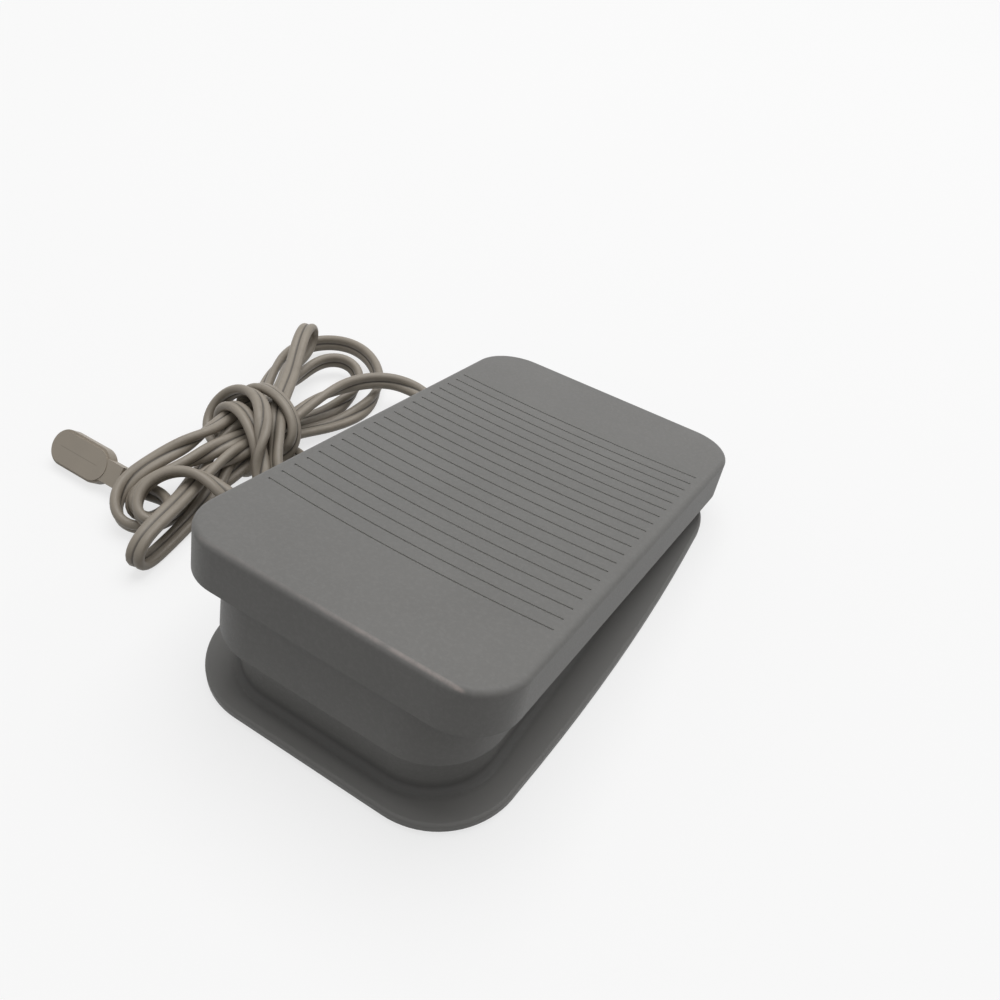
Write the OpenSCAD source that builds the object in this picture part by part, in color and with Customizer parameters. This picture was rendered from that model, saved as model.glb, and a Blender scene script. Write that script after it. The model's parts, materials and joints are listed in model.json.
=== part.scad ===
// Foot pedal of a sewing machine: a grooved tread cap on a skirted pedal frame, hinged at its low end
// over a tray that holds the speed control. +X is the width, +Y points to the hinge end, +Z is up.
// The origin is the middle of the footprint on the table.

/* [Base] */
// Length of the base plate
base_len = 150; // [140:1:165]
// Width of the base plate at its widest place
base_w = 94.4; // [88:0.2:106]
// Corner radius of the base plate
base_r = 22.5; // [18:0.5:28]
// Radius of the gently bowed long sides of base plate and cap
side_bow = 660; // [450:10:2000]
// Thickness of the base plate
base_t = 2.4; // [2:0.1:2.8]
// Radius of the base plate's top edge
base_edge = 0.9; // [0.3:0.1:1.4]
// Width of the tray outside
tray_w = 73.2; // [68:0.2:80]
// Corner radius of the tray outside
tray_r = 18; // [16:0.5:20]
// Wall of the tray
tray_wall = 2.2; // [1.8:0.1:2.6]
// Base plate showing in front of the tray
front_ledge = 7; // [6:0.2:8]
// Base plate showing behind the tray
back_ledge = 5; // [4:0.2:6]
// Fillet between the tray's wall and the base plate
root_fillet = 2; // [1:0.2:3]

/* [Feet] */
// Diameter of a rubber foot
foot_d = 13; // [10:0.5:15]
// Height of a foot below the base plate
foot_h = 1.5; // [1:0.1:2.5]
// Depth of a foot's recess in the base plate
foot_recess = 1; // [0.6:0.1:1.4]
// Foot centre to the side of the base plate
foot_side = 14; // [11:0.5:18]
// Foot centre to the end of the base plate
foot_end = 17; // [14:0.5:22]

/* [Tread cap] */
// Height of the cap's back top edge above the table
cap_back_h = 20.1; // [18.5:0.1:23]
// Slope of the cap at rest, in degrees
rake = 11.5; // [10.5:0.1:12.5]
// Cap standing out past the back of the base plate
cap_overhang = 4.8; // [3:0.2:7]
// Cap standing out past the skirt at its widest place
cap_lip = 4.9; // [3.5:0.1:6.5]
// Corner radius of the cap
cap_r = 14; // [12:0.5:20]
// Depth of the cap's side wall
cap_depth = 12.6; // [11:0.2:14]
// Wall of the cap
cap_wall = 2; // [1.8:0.1:2.4]
// Plate of the cap
cap_plate = 2.4; // [2:0.1:2.8]
// Radius of the cap's top edge
cap_edge = 1.7; // [0.8:0.1:1.9]
// Number of grooves
groove_count = 20; // [12:1:22]
// Distance between grooves
groove_pitch = 4.75; // [4:0.05:5]
// Front edge of the cap to the first groove
groove_start = 28; // [22:0.5:34]
// Width of a groove
groove_w = 0.6; // [0.4:0.1:1.2]
// Depth of a groove
groove_d = 0.35; // [0.2:0.05:0.8]
// End of a groove to the side of the cap
groove_end = 3.5; // [2.5:0.5:8]
// Radius of the grooves' gentle arc, bowed towards the front
groove_arc = 480; // [300:10:900]

/* [Pedal frame] */
// Space between the tray's sides and the skirt
skirt_clear = 1; // [0.6:0.1:1.6]
// Space between the tray's front and the skirt, at the rim
skirt_gap = 0.9; // [0.6:0.1:1.4]
// Skirt in front of the cap's back face
skirt_back = 3; // [2.6:0.1:4]
// Wall of the skirt
skirt_wall = 1.6; // [1.2:0.1:2]
// Plate of the frame
frame_plate = 1.8; // [1.4:0.1:2.2]
// Skirt above the base plate with the pedal down
press_gap = 5.2; // [4:0.2:6]
// Diameter of a screw boss under the cap
boss_d = 7; // [6:0.2:8]
// Screw boss to the tray's side
boss_side = 8.6; // [7:0.2:11]
// Front screw bosses behind the cap's front edge
boss_front = 26; // [24:0.5:29]
// Back screw bosses before the cap's back edge
boss_back = 32; // [30:0.5:40]

/* [Hinge] */
// Travel of the pedal, in degrees
press_angle = 5; // [3:0.25:5.5]
// Radius of the hinge pin
pin_r = 2; // [1.6:0.1:2.4]
// Hinge pin above the table
hinge_h = 11; // [9.5:0.1:12.5]
// Radius round the pin on lugs and towers
lug_r = 4.2; // [3.6:0.1:4.8]
// Width of a lug
lug_w = 6; // [5:0.5:7]
// Space between a lug and its tower
lug_gap = 1.5; // [1.2:0.1:2]
// Width of a tower
tower_w = 5.5; // [4.5:0.5:6.5]
// Space between the lugs and the tray's back wall
hinge_room = 0.6; // [0.4:0.1:1.5]
// Play of the pin in the lugs, on the radius
run_clear = 0.05; // [0.02:0.01:0.1]

/* [Springs and stops] */
// Return spring outside diameter
spring_d = 13; // [11:0.5:14.5]
// Return spring wire
spring_wire = 1.4; // [1:0.1:1.6]
// Return spring turns
spring_turns = 7; // [5:1:9]
// Return spring to the tray's side
spring_side = 16.6; // [14:0.2:18.4]
// Return spring behind the tray's front
spring_front = 46.4; // [44:0.2:48]
// Seat of the return spring below the frame
spring_seat = 5.4; // [4:0.2:8]
// Stop post to the tray's side
stop_side = 11.6; // [9.6:0.2:13]
// Stop post behind the tray's front
stop_front = 14.4; // [13:0.2:16]
// Diameter of a stop pad
stop_d = 9; // [8:0.5:10]
// Height of a stop pad
pad_t = 4; // [3:0.5:5]
// Length of a stop rib below the frame
stop_rib = 8.2; // [6:0.2:12]
// Hook to the middle
hook_x = 11; // [9:0.5:12.5]
// Width of a hook
hook_w = 8; // [6:0.5:9]
// Thickness of the hook's barb
barb_t = 2; // [1.4:0.1:2.6]
// Reach of the catch on the tray's front wall
catch_reach = 1.5; // [1.2:0.1:1.8]
// Thickness of the catch
catch_t = 2; // [1.4:0.1:2.6]

/* [Speed control] */
// Plunger behind the tray's front
plunger_front = 32.4; // [31:0.2:34]
// Radius of the plunger's stem
stem_r = 3.5; // [3:0.1:4]
// Head of the plunger, square
head_w = 12; // [11:0.5:13.5]
// Thickness of the plunger's head
head_t = 3; // [2:0.2:4]
// Length of the pusher below the frame
pusher_len = 4; // [3:0.2:6]
// Shortest length of the plunger's spring
coil_room = 3.4; // [3:0.2:5]
// Plunger spring wire
coil_wire = 0.6; // [0.5:0.1:0.8]
// Plunger spring turns
coil_turns = 4; // [3:1:5]
// Width of the track card
card_w = 22; // [20:0.5:25]
// Width of the wiper
wiper_w = 6; // [4:0.5:8]
// Thickness of the wiper
wiper_t = 0.4; // [0.3:0.05:0.5]

/* [Circuit board] */
// Circuit board to the tray's inside at the sides
board_gap = 6.4; // [5:0.2:8]
// Front edge of the circuit board behind the tray's front
board_start = 56.4; // [54.6:0.2:60]
// Back edge of the circuit board before the hinge
board_end = 10.4; // [9:0.2:12]
// Thickness of the circuit board and the track card
board_t = 1.6; // [1.2:0.1:2]
// Stand-off of the circuit board above the base plate
board_off = 3; // [2.4:0.2:3.6]
// Screw centre to the edges of the circuit board
board_inset = 4; // [3.5:0.5:5]
// Width of the heat sink
sink_w = 22; // [18:0.5:24]
// Depth of the heat sink's fins
sink_d = 9; // [7:0.5:10]
// Plate and tab of heat sink and triac
sink_plate = 2; // [1.5:0.1:2.4]
// Room above the heat sink with the pedal down
head_room = 2.3; // [1.5:0.1:4]
// Length of the capacitor
film_len = 18; // [15:0.5:20]
// Width of the capacitor
film_w = 8; // [6:0.5:9]
// Height of the capacitor
film_h = 10; // [8:0.5:11]
// Outside radius of the choke's core
choke_r = 8.5; // [7.5:0.5:9.5]
// Bore radius of the choke's core
choke_bore = 4.5; // [4:0.25:5]
// Height of the choke's core
choke_h = 6; // [5:0.5:7]
// Thickness of the choke's wire
choke_wire = 0.9; // [0.7:0.1:1]
// Radius of a resistor
resistor_r = 1.4; // [1:0.1:1.6]
// Length of a resistor
resistor_len = 7; // [5:0.5:8]
// Distance between the resistors
resistor_pitch = 4.5; // [4:0.25:5]
// Length of the fuse
fuse_len = 20; // [18:0.5:22]
// Radius of the fuse
fuse_r = 2.6; // [2.2:0.1:2.9]
// Width of the terminal block
block_w = 10; // [9:0.5:12]
// Depth of the terminal block
block_d = 8; // [7:0.5:9]
// Height of the terminal block
block_h = 9; // [7:0.5:10]
// Diameter of a lead wire
wire_d = 1.8; // [1.4:0.1:2]

/* [Cord] */
// Width of the flat cord
cord_w = 5.6; // [5:0.1:6]
// Cord exit before the tray's back
cord_back = 15.6; // [15.2:0.1:17]
// Radius of the strain relief at the tray
relief_r = 3.3; // [3:0.1:3.6]
// Radius of the strain relief at its tip
relief_tip_r = 3; // [2.7:0.05:3.2]
// Length of the strain relief outside the tray
relief_len = 20.4; // [20:0.1:22]
// Height of the tied hank
hank_h = 18; // [15:0.5:22]

/* [Plug] */
// Length of the plug's oval grip
plug_len = 24; // [22:0.5:27]
// Width of the plug's oval grip
plug_w = 11.5; // [10:0.5:13]
// Thickness of the plug's grip
plug_t = 4; // [3.5:0.25:5]
// Length of the plug's nose
nose_len = 17; // [15:0.5:19]
// Width of the plug's nose
nose_w = 6; // [5:0.25:7]
// Depth of the plug's nose
nose_t = 2.75; // [2:0.25:4]
// Length of the plug's neck
neck_len = 9; // [8:0.5:11]
// Width of the plug's neck
neck_w = 7; // [6:0.5:8]
// Thickness of the plug's neck
neck_t = 3.6; // [3:0.1:3.8]
// Distance between the plug's contacts
contact_pitch = 9; // [8:0.5:10]
// Bore of a contact sleeve
contact_bore = 2; // [1.6:0.1:2.2]

/* [Hidden] */
$fn = 64;

// Gaps between pieces
seat_clear = 0.02;
snug = 0.1;
slip = 0.15;
lip_gap = 0.2;
touch_gap = 0.3;
cord_room = 0.35;
wiper_gap = 0.2;
rim_clear = 1;
floor_room = 1.5;

// Length positions
overall_len = base_len + cap_overhang;
base_y = -cap_overhang / 2;
base_back = base_y + base_len / 2;
base_front = base_y - base_len / 2;
tray_front = base_front + front_ledge;
tray_back = base_back - back_ledge;
tray_len = tray_back - tray_front;
tray_y = (tray_front + tray_back) / 2;
hinge_y = tray_back - tray_wall - hinge_room - lug_r;
cap_back_y = overall_len / 2;
stop_y = tray_front + stop_front;
plunger_y = tray_front + plunger_front;
spring_y = tray_front + spring_front;
board_front = tray_front + board_start;
board_back = hinge_y - lug_r - board_end;
cord_y = tray_back - cord_back;

// Width positions
boss_x = tray_w / 2 - boss_side;
spring_x = tray_w / 2 - spring_side;
stop_x = tray_w / 2 - stop_side;
lug_x = tray_w / 2 - tray_r - lug_gap - slip - lug_w / 2;
tower_x = lug_x + lug_w / 2 + lug_gap + tower_w / 2;
pin_len = 2 * (tower_x + tower_w / 2);
relief_x = -tray_w / 2;

// Heights
floor_z = foot_h + base_t;
under_cap = cap_plate + frame_plate;
pressed_rim = floor_z + press_gap;
cord_z = floor_z + relief_r + touch_gap;
board_z = floor_z + board_off;
board_top = board_z + board_t;
big = 3 * base_len;

// How far a place on the pedal goes down, and the height of the frame's underside at rest
function drop(y) = (hinge_y - y) * sin(press_angle);
function frame_under(y) = cap_back_h + (cap_back_y - y) * tan(rake) - under_cap / cos(rake);

// Hooks and rim: the barbs stay clear of the base plate with the pedal down
catch_below = 1.5;
hook_drop = drop(tray_front + tray_wall);
rim_h = floor_z + floor_room + hook_drop + barb_t + touch_gap + catch_t + catch_below;
catch_h = rim_h - catch_below;

// Skirt round the tray and cap round the skirt
skirt_w = tray_w + 2 * (skirt_clear + skirt_wall);
skirt_r = tray_r + skirt_wall / 3;
skirt_inside = cos(rake) * (cap_back_y - tray_front + skirt_gap + tan(rake) * (rim_h - cap_back_h));
skirt_len = skirt_inside + skirt_wall - skirt_back;
skirt_mid = -skirt_back - skirt_len / 2;
cap_len = skirt_inside + skirt_wall + lip_gap + cap_wall;
cap_w = skirt_w + 2 * cap_lip;
cap_front_h = cap_back_h + cap_len * sin(rake);
// How far the round corners of a rim stand out, and the angle by which they lap under its sides
corner_out = 0.05;
corner_lap = 12;
// The plates reach to the middle of their rims' ledges
rim_ledge = 4;
cap_inset = (cap_wall + cap_edge) / 2;
base_rim = base_edge + rim_ledge;
base_inset = base_rim - rim_ledge / 2;

// Stops and plunger under the frame
stop_rib_r = stop_d / 2 - 1;
stop_h = frame_under(stop_y) - stop_rib - drop(stop_y - stop_rib_r) - touch_gap;
spring_top = frame_under(spring_y) - spring_seat;
head_h = frame_under(plunger_y) - pusher_len - touch_gap - head_t;
guide_h = head_h - drop(plunger_y) - coil_room;
guide_r = stem_r + slip + 1.8;
card_y = plunger_y - head_w / 2 - wiper_t - wiper_gap - board_t;
card_low = floor_z + 1;
card_h = head_h - 1.1 - card_low;
card_post_w = 3;

// Circuit board and what stands on it
board_w = tray_w - 2 * (tray_wall + board_gap);
board_len = board_back - board_front;
board_y = (board_front + board_back) / 2;
screw_r = 1.45;
screw_head_r = 2.75;
screw_head_t = 2;
sink_at = [-board_w / 2 + 7 + sink_w / 2, board_y - 8];
sink_h = frame_under(sink_at[1] + sink_d) - drop(sink_at[1] + sink_d) - head_room - board_top;
leg_h = 1.5;
tab_t = 0.65 * sink_plate;
tab_w = 10;
tab_top = board_top + sink_h + leg_h;
sink_hole_z = tab_top - screw_head_r - 0.85;
film_at = [-board_w / 2 + 4 + film_len / 2, board_y + 3 + film_w / 2];
choke_at = [board_w / 2 - 4.5 - choke_r, board_y + 4];
choke_turns = 14;
resistor_at = [board_w / 2 - 14, board_front + 4];
diac_at = [-board_w / 2 + 16, board_front + 5];
clip_wall = 0.6;
clip_rise = 1.5;
fuse_at = [block_w - 2, board_back - fuse_r - 2.7];
fuse_z = board_top + fuse_r + 3 * clip_wall;
block_at = [-block_w - 1, board_back - block_d / 2 - 1];
well_d = 2;
wire_z = board_top + 4;
wire_run = 3;
wire_lift = 1.5;
wire_split = 1.5;

// Seat of the strain relief inside the curved wall
grip_t = 2.2;
grip_x = relief_x + tray_wall + grip_t;
grip_half = relief_r + 0.5;
anchor_t = 3;

// Cord route from the strain relief into the hank
cord_route = [[-57, 52, 7.5], [-60, 52, 7.5], [-64, 54, 7], [-69, 56.5, 6], [-74, 56.5, 5], [-79, 53.5, 4.5],
    [-84, 47, 4.5]];
// Hank ends on the table: far end and near end
hank_far = [-97, 41];
hank_far_r = 23;
hank_near = [-85, -43];
hank_near_r = 17;

// Plug lying on the edge of its grip and the end of its nose: x runs to the cord, z is the oval face
plug_at = [-122.6, -38.2];
plug_tilt = atan((plug_w - nose_w) / 2 / nose_t);
plug_z = plug_w / 2 * cos(plug_tilt) + plug_t * sin(plug_tilt);
plug_edge = 0.7;
plug_face = 1.2;
sleeve_wall = 0.5;
sleeve_end = 0.5;
contact_deep = nose_t + plug_t - plug_face;
neck_slot = 1.2;
neck_slot_x = plug_len / 2 + 5.6;

// Flat outlines
module rounded(w, l, r) {
    square([w - 2 * r, l], center = true);
    square([w, l - 2 * r], center = true);
    for (x = [-1, 1], y = [-1, 1])
        translate([x * (w / 2 - r), y * (l / 2 - r)]) circle(r);
}

// Outline with bowed long sides, straight ends and round corners
function corner_turn(l, r) = asin((l / 2 - r) / (side_bow - r));
function corner_x(w, l, r) =
    ceil(100 * (w / 2 - side_bow + (side_bow - r) * cos(corner_turn(l, r)) + corner_out)) / 100;

// Plate inside such an outline, with straight edges that end under the ledge of its rim
module bowed_plate(w, l, r, inset) {
    corner = [for (a = [15, 45, 75])
        [corner_x(w, l, r) + (r - inset) * cos(a), l / 2 - r + (r - inset) * sin(a)]];
    right = concat([for (i = [2 : -1 : 0]) [corner[i][0], -corner[i][1]]], [[w / 2 - inset, 0]], corner);
    left = [for (i = [len(right) - 1 : -1 : 0]) [-right[i][0], right[i][1]]];
    polygon(concat(right, left));
}

module stadium(l, w) {
    square([l - w, w], center = true);
    for (x = [-1, 1])
        translate([x * (l - w) / 2, 0]) circle(d = w);
}

// Sweeps a profile round a rounded rectangle: its x points outwards from the outline, its y points up
module swept_rim(w, l, r) {
    for (q = [0 : 3]) {
        run = q % 2 == 0 ? l : w;
        half = q % 2 == 0 ? w / 2 : l / 2;
        rotate([0, 0, 90 * q]) {
            translate([half, 0, 0]) rotate([90, 0, 0]) linear_extrude(run - 2 * r, center = true) children();
            translate([half - r, run / 2 - r, 0]) rotate_extrude(angle = 90) translate([r, 0]) children();
        }
    }
}

// Sweeps the same kind of profile round a bowed outline
module bowed_rim(w, l, r) {
    turn = corner_turn(l, r);
    for (end = [-1, 1])
        rotate([0, 0, end * 90]) translate([l / 2, 0, 0]) rotate([90, 0, 0])
            linear_extrude(2 * corner_x(w, l, r), center = true) children();
    for (s = [0, 1])
        mirror([s, 0, 0]) {
            translate([w / 2 - side_bow, 0, 0]) rotate([0, 0, -turn])
                rotate_extrude(angle = 2 * turn, $fn = 720) translate([side_bow, 0]) children();
            for (back = [0, 1])
                mirror([0, back, 0]) translate([corner_x(w, l, r), r - l / 2, 0]) rotate([0, 0, -90])
                    rotate_extrude(angle = 90 - turn + corner_lap) translate([r, 0]) children();
        }
}

// Profile of a rim with its top outer edge rounded, hanging below y = 0
module edge_profile(wall, depth, edge) {
    translate([-wall, -depth]) square([wall, depth - edge]);
    translate([-wall, -edge]) square([wall - edge, edge]);
    translate([-edge, -edge]) intersection() {
        circle(edge);
        square(edge);
    }
}

// Solid tube through rings of points
module ring_tube(rings) {
    m = len(rings[0]);
    n = len(rings);
    sides = [for (i = [0 : n - 2], k = [0 : m - 1])
        let (a = i * m + k, b = i * m + (k + 1) % m)
        each [[a, b, b + m], [a, b + m, a + m]]];
    first = [for (k = [m - 1 : -1 : 0]) k];
    last = [for (k = [0 : m - 1]) (n - 1) * m + k];
    polyhedron([for (r = rings) each r], concat([first], sides, [last]));
}

function unit(v) = v / norm(v);
function way(p, i) = unit(p[min(i + 1, len(p) - 1)] - p[max(i - 1, 0)]);
function ring(c, side, up, r, m) =
    [for (k = [0 : m - 1]) c + r * (side * cos(360 * k / m) + up * sin(360 * k / m))];

module swept_wire(points, d, m) {
    ring_tube([for (i = [0 : len(points) - 1])
        let (t = way(points, i), side = unit(cross(t, [0, 0, 1])), up = cross(side, t))
        ring(points[i], side, up, d / 2, m)]);
}

// Round wire coil standing on z0 and reaching z1
module coil(d, wire, turns, z0, z1) {
    steps = turns * 12;
    ring_tube([for (i = [0 : steps])
        let (a = 30 * i, out = [cos(a), sin(a), 0], z = z0 + wire / 2 + (z1 - z0 - wire) * i / steps)
        ring(out * (d - wire) / 2 + [0, 0, z], out, [0, 0, 1], wire / 2, 6)]);
}

// Coordinates of the cap: its back top edge is y = 0 and its top face is z = 0
module on_cap() {
    translate([0, cap_back_y, cap_back_h]) rotate([-rake, 0, 0]) children();
}

module turned(angle) {
    translate([0, hinge_y, hinge_h]) rotate([angle, 0, 0]) translate([0, -hinge_y, -hinge_h]) children();
}

// Everything higher than a depth under the cap's top face
module above_cap(depth) {
    on_cap() translate([-big / 2, -big / 2, -depth]) cube(big);
}

module both_sides(x) {
    for (s = [-1, 1])
        translate([s * x, 0, 0]) children();
}

module pan_screw(length) {
    cylinder(r = screw_head_r, h = screw_head_t);
    translate([0, 0, -length]) cylinder(r = screw_r, h = length);
}

module board_corners() {
    for (x = [-1, 1], y = [board_front + board_inset, board_back - board_inset])
        translate([x * (board_w / 2 - board_inset), y, 0]) children();
}

module cap_bosses() {
    for (y = [boss_front - cap_len, -boss_back])
        both_sides(boss_x) translate([0, y, 0]) children();
}

// Base

module tray_walls() {
    difference() {
        translate([0, tray_y, foot_h]) linear_extrude(rim_h - foot_h) difference() {
            rounded(tray_w, tray_len, tray_r);
            rounded(tray_w - 2 * tray_wall, tray_len - 2 * tray_wall, tray_r - tray_wall);
        }
        above_cap(under_cap + rim_clear);
        turned(press_angle) above_cap(under_cap + rim_clear);
    }
}

module hinge_tower() {
    translate([-tower_w / 2, hinge_y - lug_r, floor_z - seat_clear])
        cube([tower_w, 2 * lug_r, hinge_h - floor_z + seat_clear]);
    translate([-tower_w / 2, hinge_y, hinge_h]) rotate([0, 90, 0]) cylinder(r = lug_r, h = tower_w);
}

module catch() {
    translate([-hook_w / 2 - 1, tray_front + tray_wall / 2, catch_h - catch_t])
        cube([hook_w + 2, catch_reach + tray_wall / 2, catch_t]);
}

// Flat seat for the strain relief's anchor inside the curved wall
module cord_grip() {
    translate([relief_x + tray_wall / 2, cord_y - grip_half, floor_z - seat_clear])
        cube([grip_x - relief_x - tray_wall / 2, 2 * grip_half, cord_z + relief_r + 1.2 - floor_z]);
}

module card_post() {
    translate([-card_post_w / 2, card_y - 2, floor_z - seat_clear]) cube([card_post_w, board_t + 4, 9]);
}

module base_tray() {
    color([0.40, 0.39, 0.38]) difference() {
        union() {
            translate([0, base_y, foot_h]) linear_extrude(base_t)
                bowed_plate(base_w, base_len, base_r, base_inset);
            translate([0, base_y, floor_z]) bowed_rim(base_w, base_len, base_r)
                edge_profile(base_rim, base_t, base_edge);
            tray_walls();
            translate([0, tray_y, floor_z]) swept_rim(tray_w, tray_len, tray_r) difference() {
                square(root_fillet);
                translate([root_fillet, root_fillet]) circle(root_fillet);
            }
            both_sides(tower_x) hinge_tower();
            both_sides(hook_x) catch();
            both_sides(card_w / 2) card_post();
            cord_grip();
            translate([0, 0, floor_z]) board_corners() cylinder(r = 3, h = board_off);
            both_sides(spring_x) translate([0, spring_y, floor_z - seat_clear])
                cylinder(d = spring_d - 2 * spring_wire - 2, h = 6);
            both_sides(stop_x) translate([0, stop_y, floor_z - seat_clear])
                cylinder(d = stop_d, h = stop_h - pad_t - floor_z + seat_clear);
            translate([0, plunger_y, floor_z - seat_clear])
                cylinder(r = guide_r, h = guide_h - floor_z + seat_clear);
        }
        for (y = [base_front + foot_end, base_back - foot_end])
            both_sides(base_w / 2 - foot_side) translate([0, y, foot_h - 1])
                cylinder(d = foot_d + 2 * snug, h = foot_recess + 1);
        translate([-pin_len / 2, hinge_y, hinge_h]) rotate([0, 90, 0])
            cylinder(r = pin_r + seat_clear, h = pin_len);
        translate([0, 0, floor_z]) board_corners() cylinder(r = screw_r + seat_clear, h = board_off + 1);
        translate([0, plunger_y, floor_z]) cylinder(r = stem_r + slip, h = guide_h);
        translate([relief_x - root_fillet - 1, cord_y, cord_z]) rotate([0, 90, 0])
            cylinder(r = relief_r + seat_clear, h = grip_x - relief_x + root_fillet + 2);
        translate([-card_w / 2 - snug, card_y - snug, card_low])
            cube([card_w + 2 * snug, board_t + 2 * snug, card_h]);
    }
}

module rubber_feet() {
    color([0.13, 0.13, 0.13])
        for (y = [base_front + foot_end, base_back - foot_end])
            both_sides(base_w / 2 - foot_side) translate([0, y, 0])
                cylinder(d = foot_d, h = foot_h + foot_recess);
}

// Pedal

module groove(y) {
    half_span = asin((cap_w / 2 - groove_end) / groove_arc);
    translate([0, y + groove_arc, -groove_d]) rotate([0, 0, -90 - half_span])
        rotate_extrude(angle = 2 * half_span, $fn = 360)
            translate([groove_arc - groove_w / 2, 0]) square([groove_w, groove_d + 1]);
}

module tread_cap() {
    color([0.48, 0.47, 0.46]) difference() {
        on_cap() union() {
            translate([0, -cap_len / 2, 0]) swept_rim(cap_w, cap_len, cap_r)
                edge_profile(cap_wall, cap_depth, cap_edge);
            translate([0, -cap_len / 2, -cap_plate]) linear_extrude(cap_plate)
                rounded(cap_w - 2 * cap_inset, cap_len - 2 * cap_inset, cap_r - cap_inset);
            cap_bosses() translate([0, 0, -under_cap]) cylinder(d = boss_d, h = under_cap - cap_plate / 2);
        }
        on_cap() for (i = [0 : groove_count - 1])
            groove(-cap_len + groove_start + i * groove_pitch);
        on_cap() cap_bosses() translate([0, 0, -under_cap - 1])
            cylinder(r = screw_r + seat_clear, h = under_cap + 1 - cap_plate / 2);
        cord_notch();
    }
}

// Room over the strain relief, with the pedal down
module cord_notch() {
    half = relief_r + 0.4;
    turned(-press_angle) translate([-big / 2, cord_y - half, -big])
        cube([big / 2, 2 * half, big + cord_z + relief_r + cord_room]);
}

module skirt() {
    difference() {
        on_cap() translate([0, skirt_mid, -cap_front_h]) linear_extrude(cap_front_h - cap_plate) difference() {
            rounded(skirt_w, skirt_len, skirt_r);
            rounded(skirt_w - 2 * skirt_wall, skirt_len - 2 * skirt_wall, skirt_r - skirt_wall);
        }
        turned(-press_angle) translate([-big / 2, -big / 2, pressed_rim - big]) cube(big);
        cord_notch();
    }
}

module hinge_lug() {
    translate([-lug_w / 2, hinge_y, hinge_h]) rotate([0, 90, 0]) cylinder(r = lug_r, h = lug_w);
    translate([-lug_w / 2, hinge_y - lug_r, hinge_h]) cube([lug_w, 2 * lug_r, cap_front_h]);
}

module hook() {
    leg_y = tray_front + tray_wall + catch_reach + 1.8;
    barb_top = catch_h - catch_t - touch_gap;
    translate([-hook_w / 2, leg_y, barb_top - barb_t]) cube([hook_w, 2, cap_front_h]);
    translate([-hook_w / 2, tray_front + tray_wall + 0.5, barb_top - barb_t])
        cube([hook_w, leg_y - tray_front - tray_wall, barb_t]);
}

module spring_boss() {
    translate([0, spring_y, spring_top]) cylinder(d = spring_d + 1, h = cap_front_h);
    translate([0, spring_y, spring_top - 4]) cylinder(d = spring_d - 2 * spring_wire - 2, h = 5);
}

module frame_fittings() {
    both_sides(lug_x) hinge_lug();
    both_sides(hook_x) hook();
    both_sides(spring_x) spring_boss();
    both_sides(stop_x) translate([0, stop_y, frame_under(stop_y) - stop_rib])
        cylinder(r = stop_rib_r, h = cap_front_h);
    translate([-head_w / 2, plunger_y - 1.5, head_h + head_t + touch_gap]) cube([head_w, 3, cap_front_h]);
}

module pedal_frame() {
    color([0.40, 0.39, 0.38]) difference() {
        union() {
            on_cap() translate([0, skirt_mid, -under_cap]) linear_extrude(frame_plate)
                rounded(skirt_w, skirt_len, skirt_r);
            skirt();
            difference() {
                frame_fittings();
                above_cap(under_cap - frame_plate / 2);
            }
        }
        translate([-lug_x - lug_w, hinge_y, hinge_h]) rotate([0, 90, 0])
            cylinder(r = pin_r + run_clear, h = 2 * (lug_x + lug_w));
        on_cap() cap_bosses() translate([0, 0, -under_cap - 1]) cylinder(d = boss_d + 2 * snug, h = under_cap);
    }
}

module cap_screws() {
    color([0.72, 0.72, 0.74]) on_cap() cap_bosses() translate([0, 0, -under_cap]) mirror([0, 0, 1]) {
        cylinder(d = boss_d + 3, h = 0.8);
        translate([0, 0, 0.8]) cylinder(r = screw_head_r, h = screw_head_t);
        mirror([0, 0, 1]) cylinder(r = screw_r, h = under_cap - cap_plate / 2 - touch_gap);
    }
}

// Hinge

module hinge_pin() {
    color([0.75, 0.75, 0.77]) translate([-pin_len / 2, hinge_y, hinge_h]) rotate([0, 90, 0])
        cylinder(r = pin_r, h = pin_len);
}

module hinge_clips() {
    clip_t = lug_gap / 2;
    clip_x = tower_x - tower_w / 2 - clip_t / 2;
    color([0.62, 0.62, 0.64]) for (s = [-1, 1])
        translate([s * clip_x - clip_t / 2, hinge_y, hinge_h]) rotate([0, 90, 0]) difference() {
            cylinder(r = 1.9 * pin_r, h = clip_t);
            translate([0, 0, -1]) cylinder(r = pin_r + seat_clear, h = clip_t + 2);
            translate([-0.7 * pin_r, 0, -1]) cube([1.4 * pin_r, 2 * lug_r, clip_t + 2]);
        }
}

// Springs and stops

module return_springs() {
    color([0.70, 0.70, 0.72]) both_sides(spring_x) translate([0, spring_y, 0])
        coil(spring_d, spring_wire, spring_turns, floor_z + 0.05, spring_top - 0.05);
}

module stop_pads() {
    color([0.12, 0.12, 0.12]) both_sides(stop_x) translate([0, stop_y, stop_h - pad_t]) {
        cylinder(d = stop_d, h = pad_t * 0.6);
        cylinder(d1 = stop_d, d2 = stop_d - 3, h = pad_t);
    }
}

// Speed control

module plunger() {
    stem_low = floor_z + drop(plunger_y) + 2 * touch_gap;
    color([0.90, 0.89, 0.85]) translate([0, plunger_y, 0]) {
        translate([0, 0, stem_low]) cylinder(r = stem_r, h = head_h - stem_low + 0.5);
        translate([-head_w / 2, -head_w / 2, head_h]) cube([head_w, head_w, head_t]);
    }
}

module plunger_spring() {
    color([0.72, 0.72, 0.74]) translate([0, plunger_y, 0])
        coil(2 * (stem_r + 0.5 + coil_wire), coil_wire, coil_turns, guide_h + 0.05, head_h - 0.05);
}

module wiper() {
    color([0.78, 0.55, 0.30])
        translate([-wiper_w / 2, plunger_y - head_w / 2 - wiper_t, head_h - 2 * head_t - 2])
            cube([wiper_w, wiper_t, 3 * head_t + 2]);
}

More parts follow.
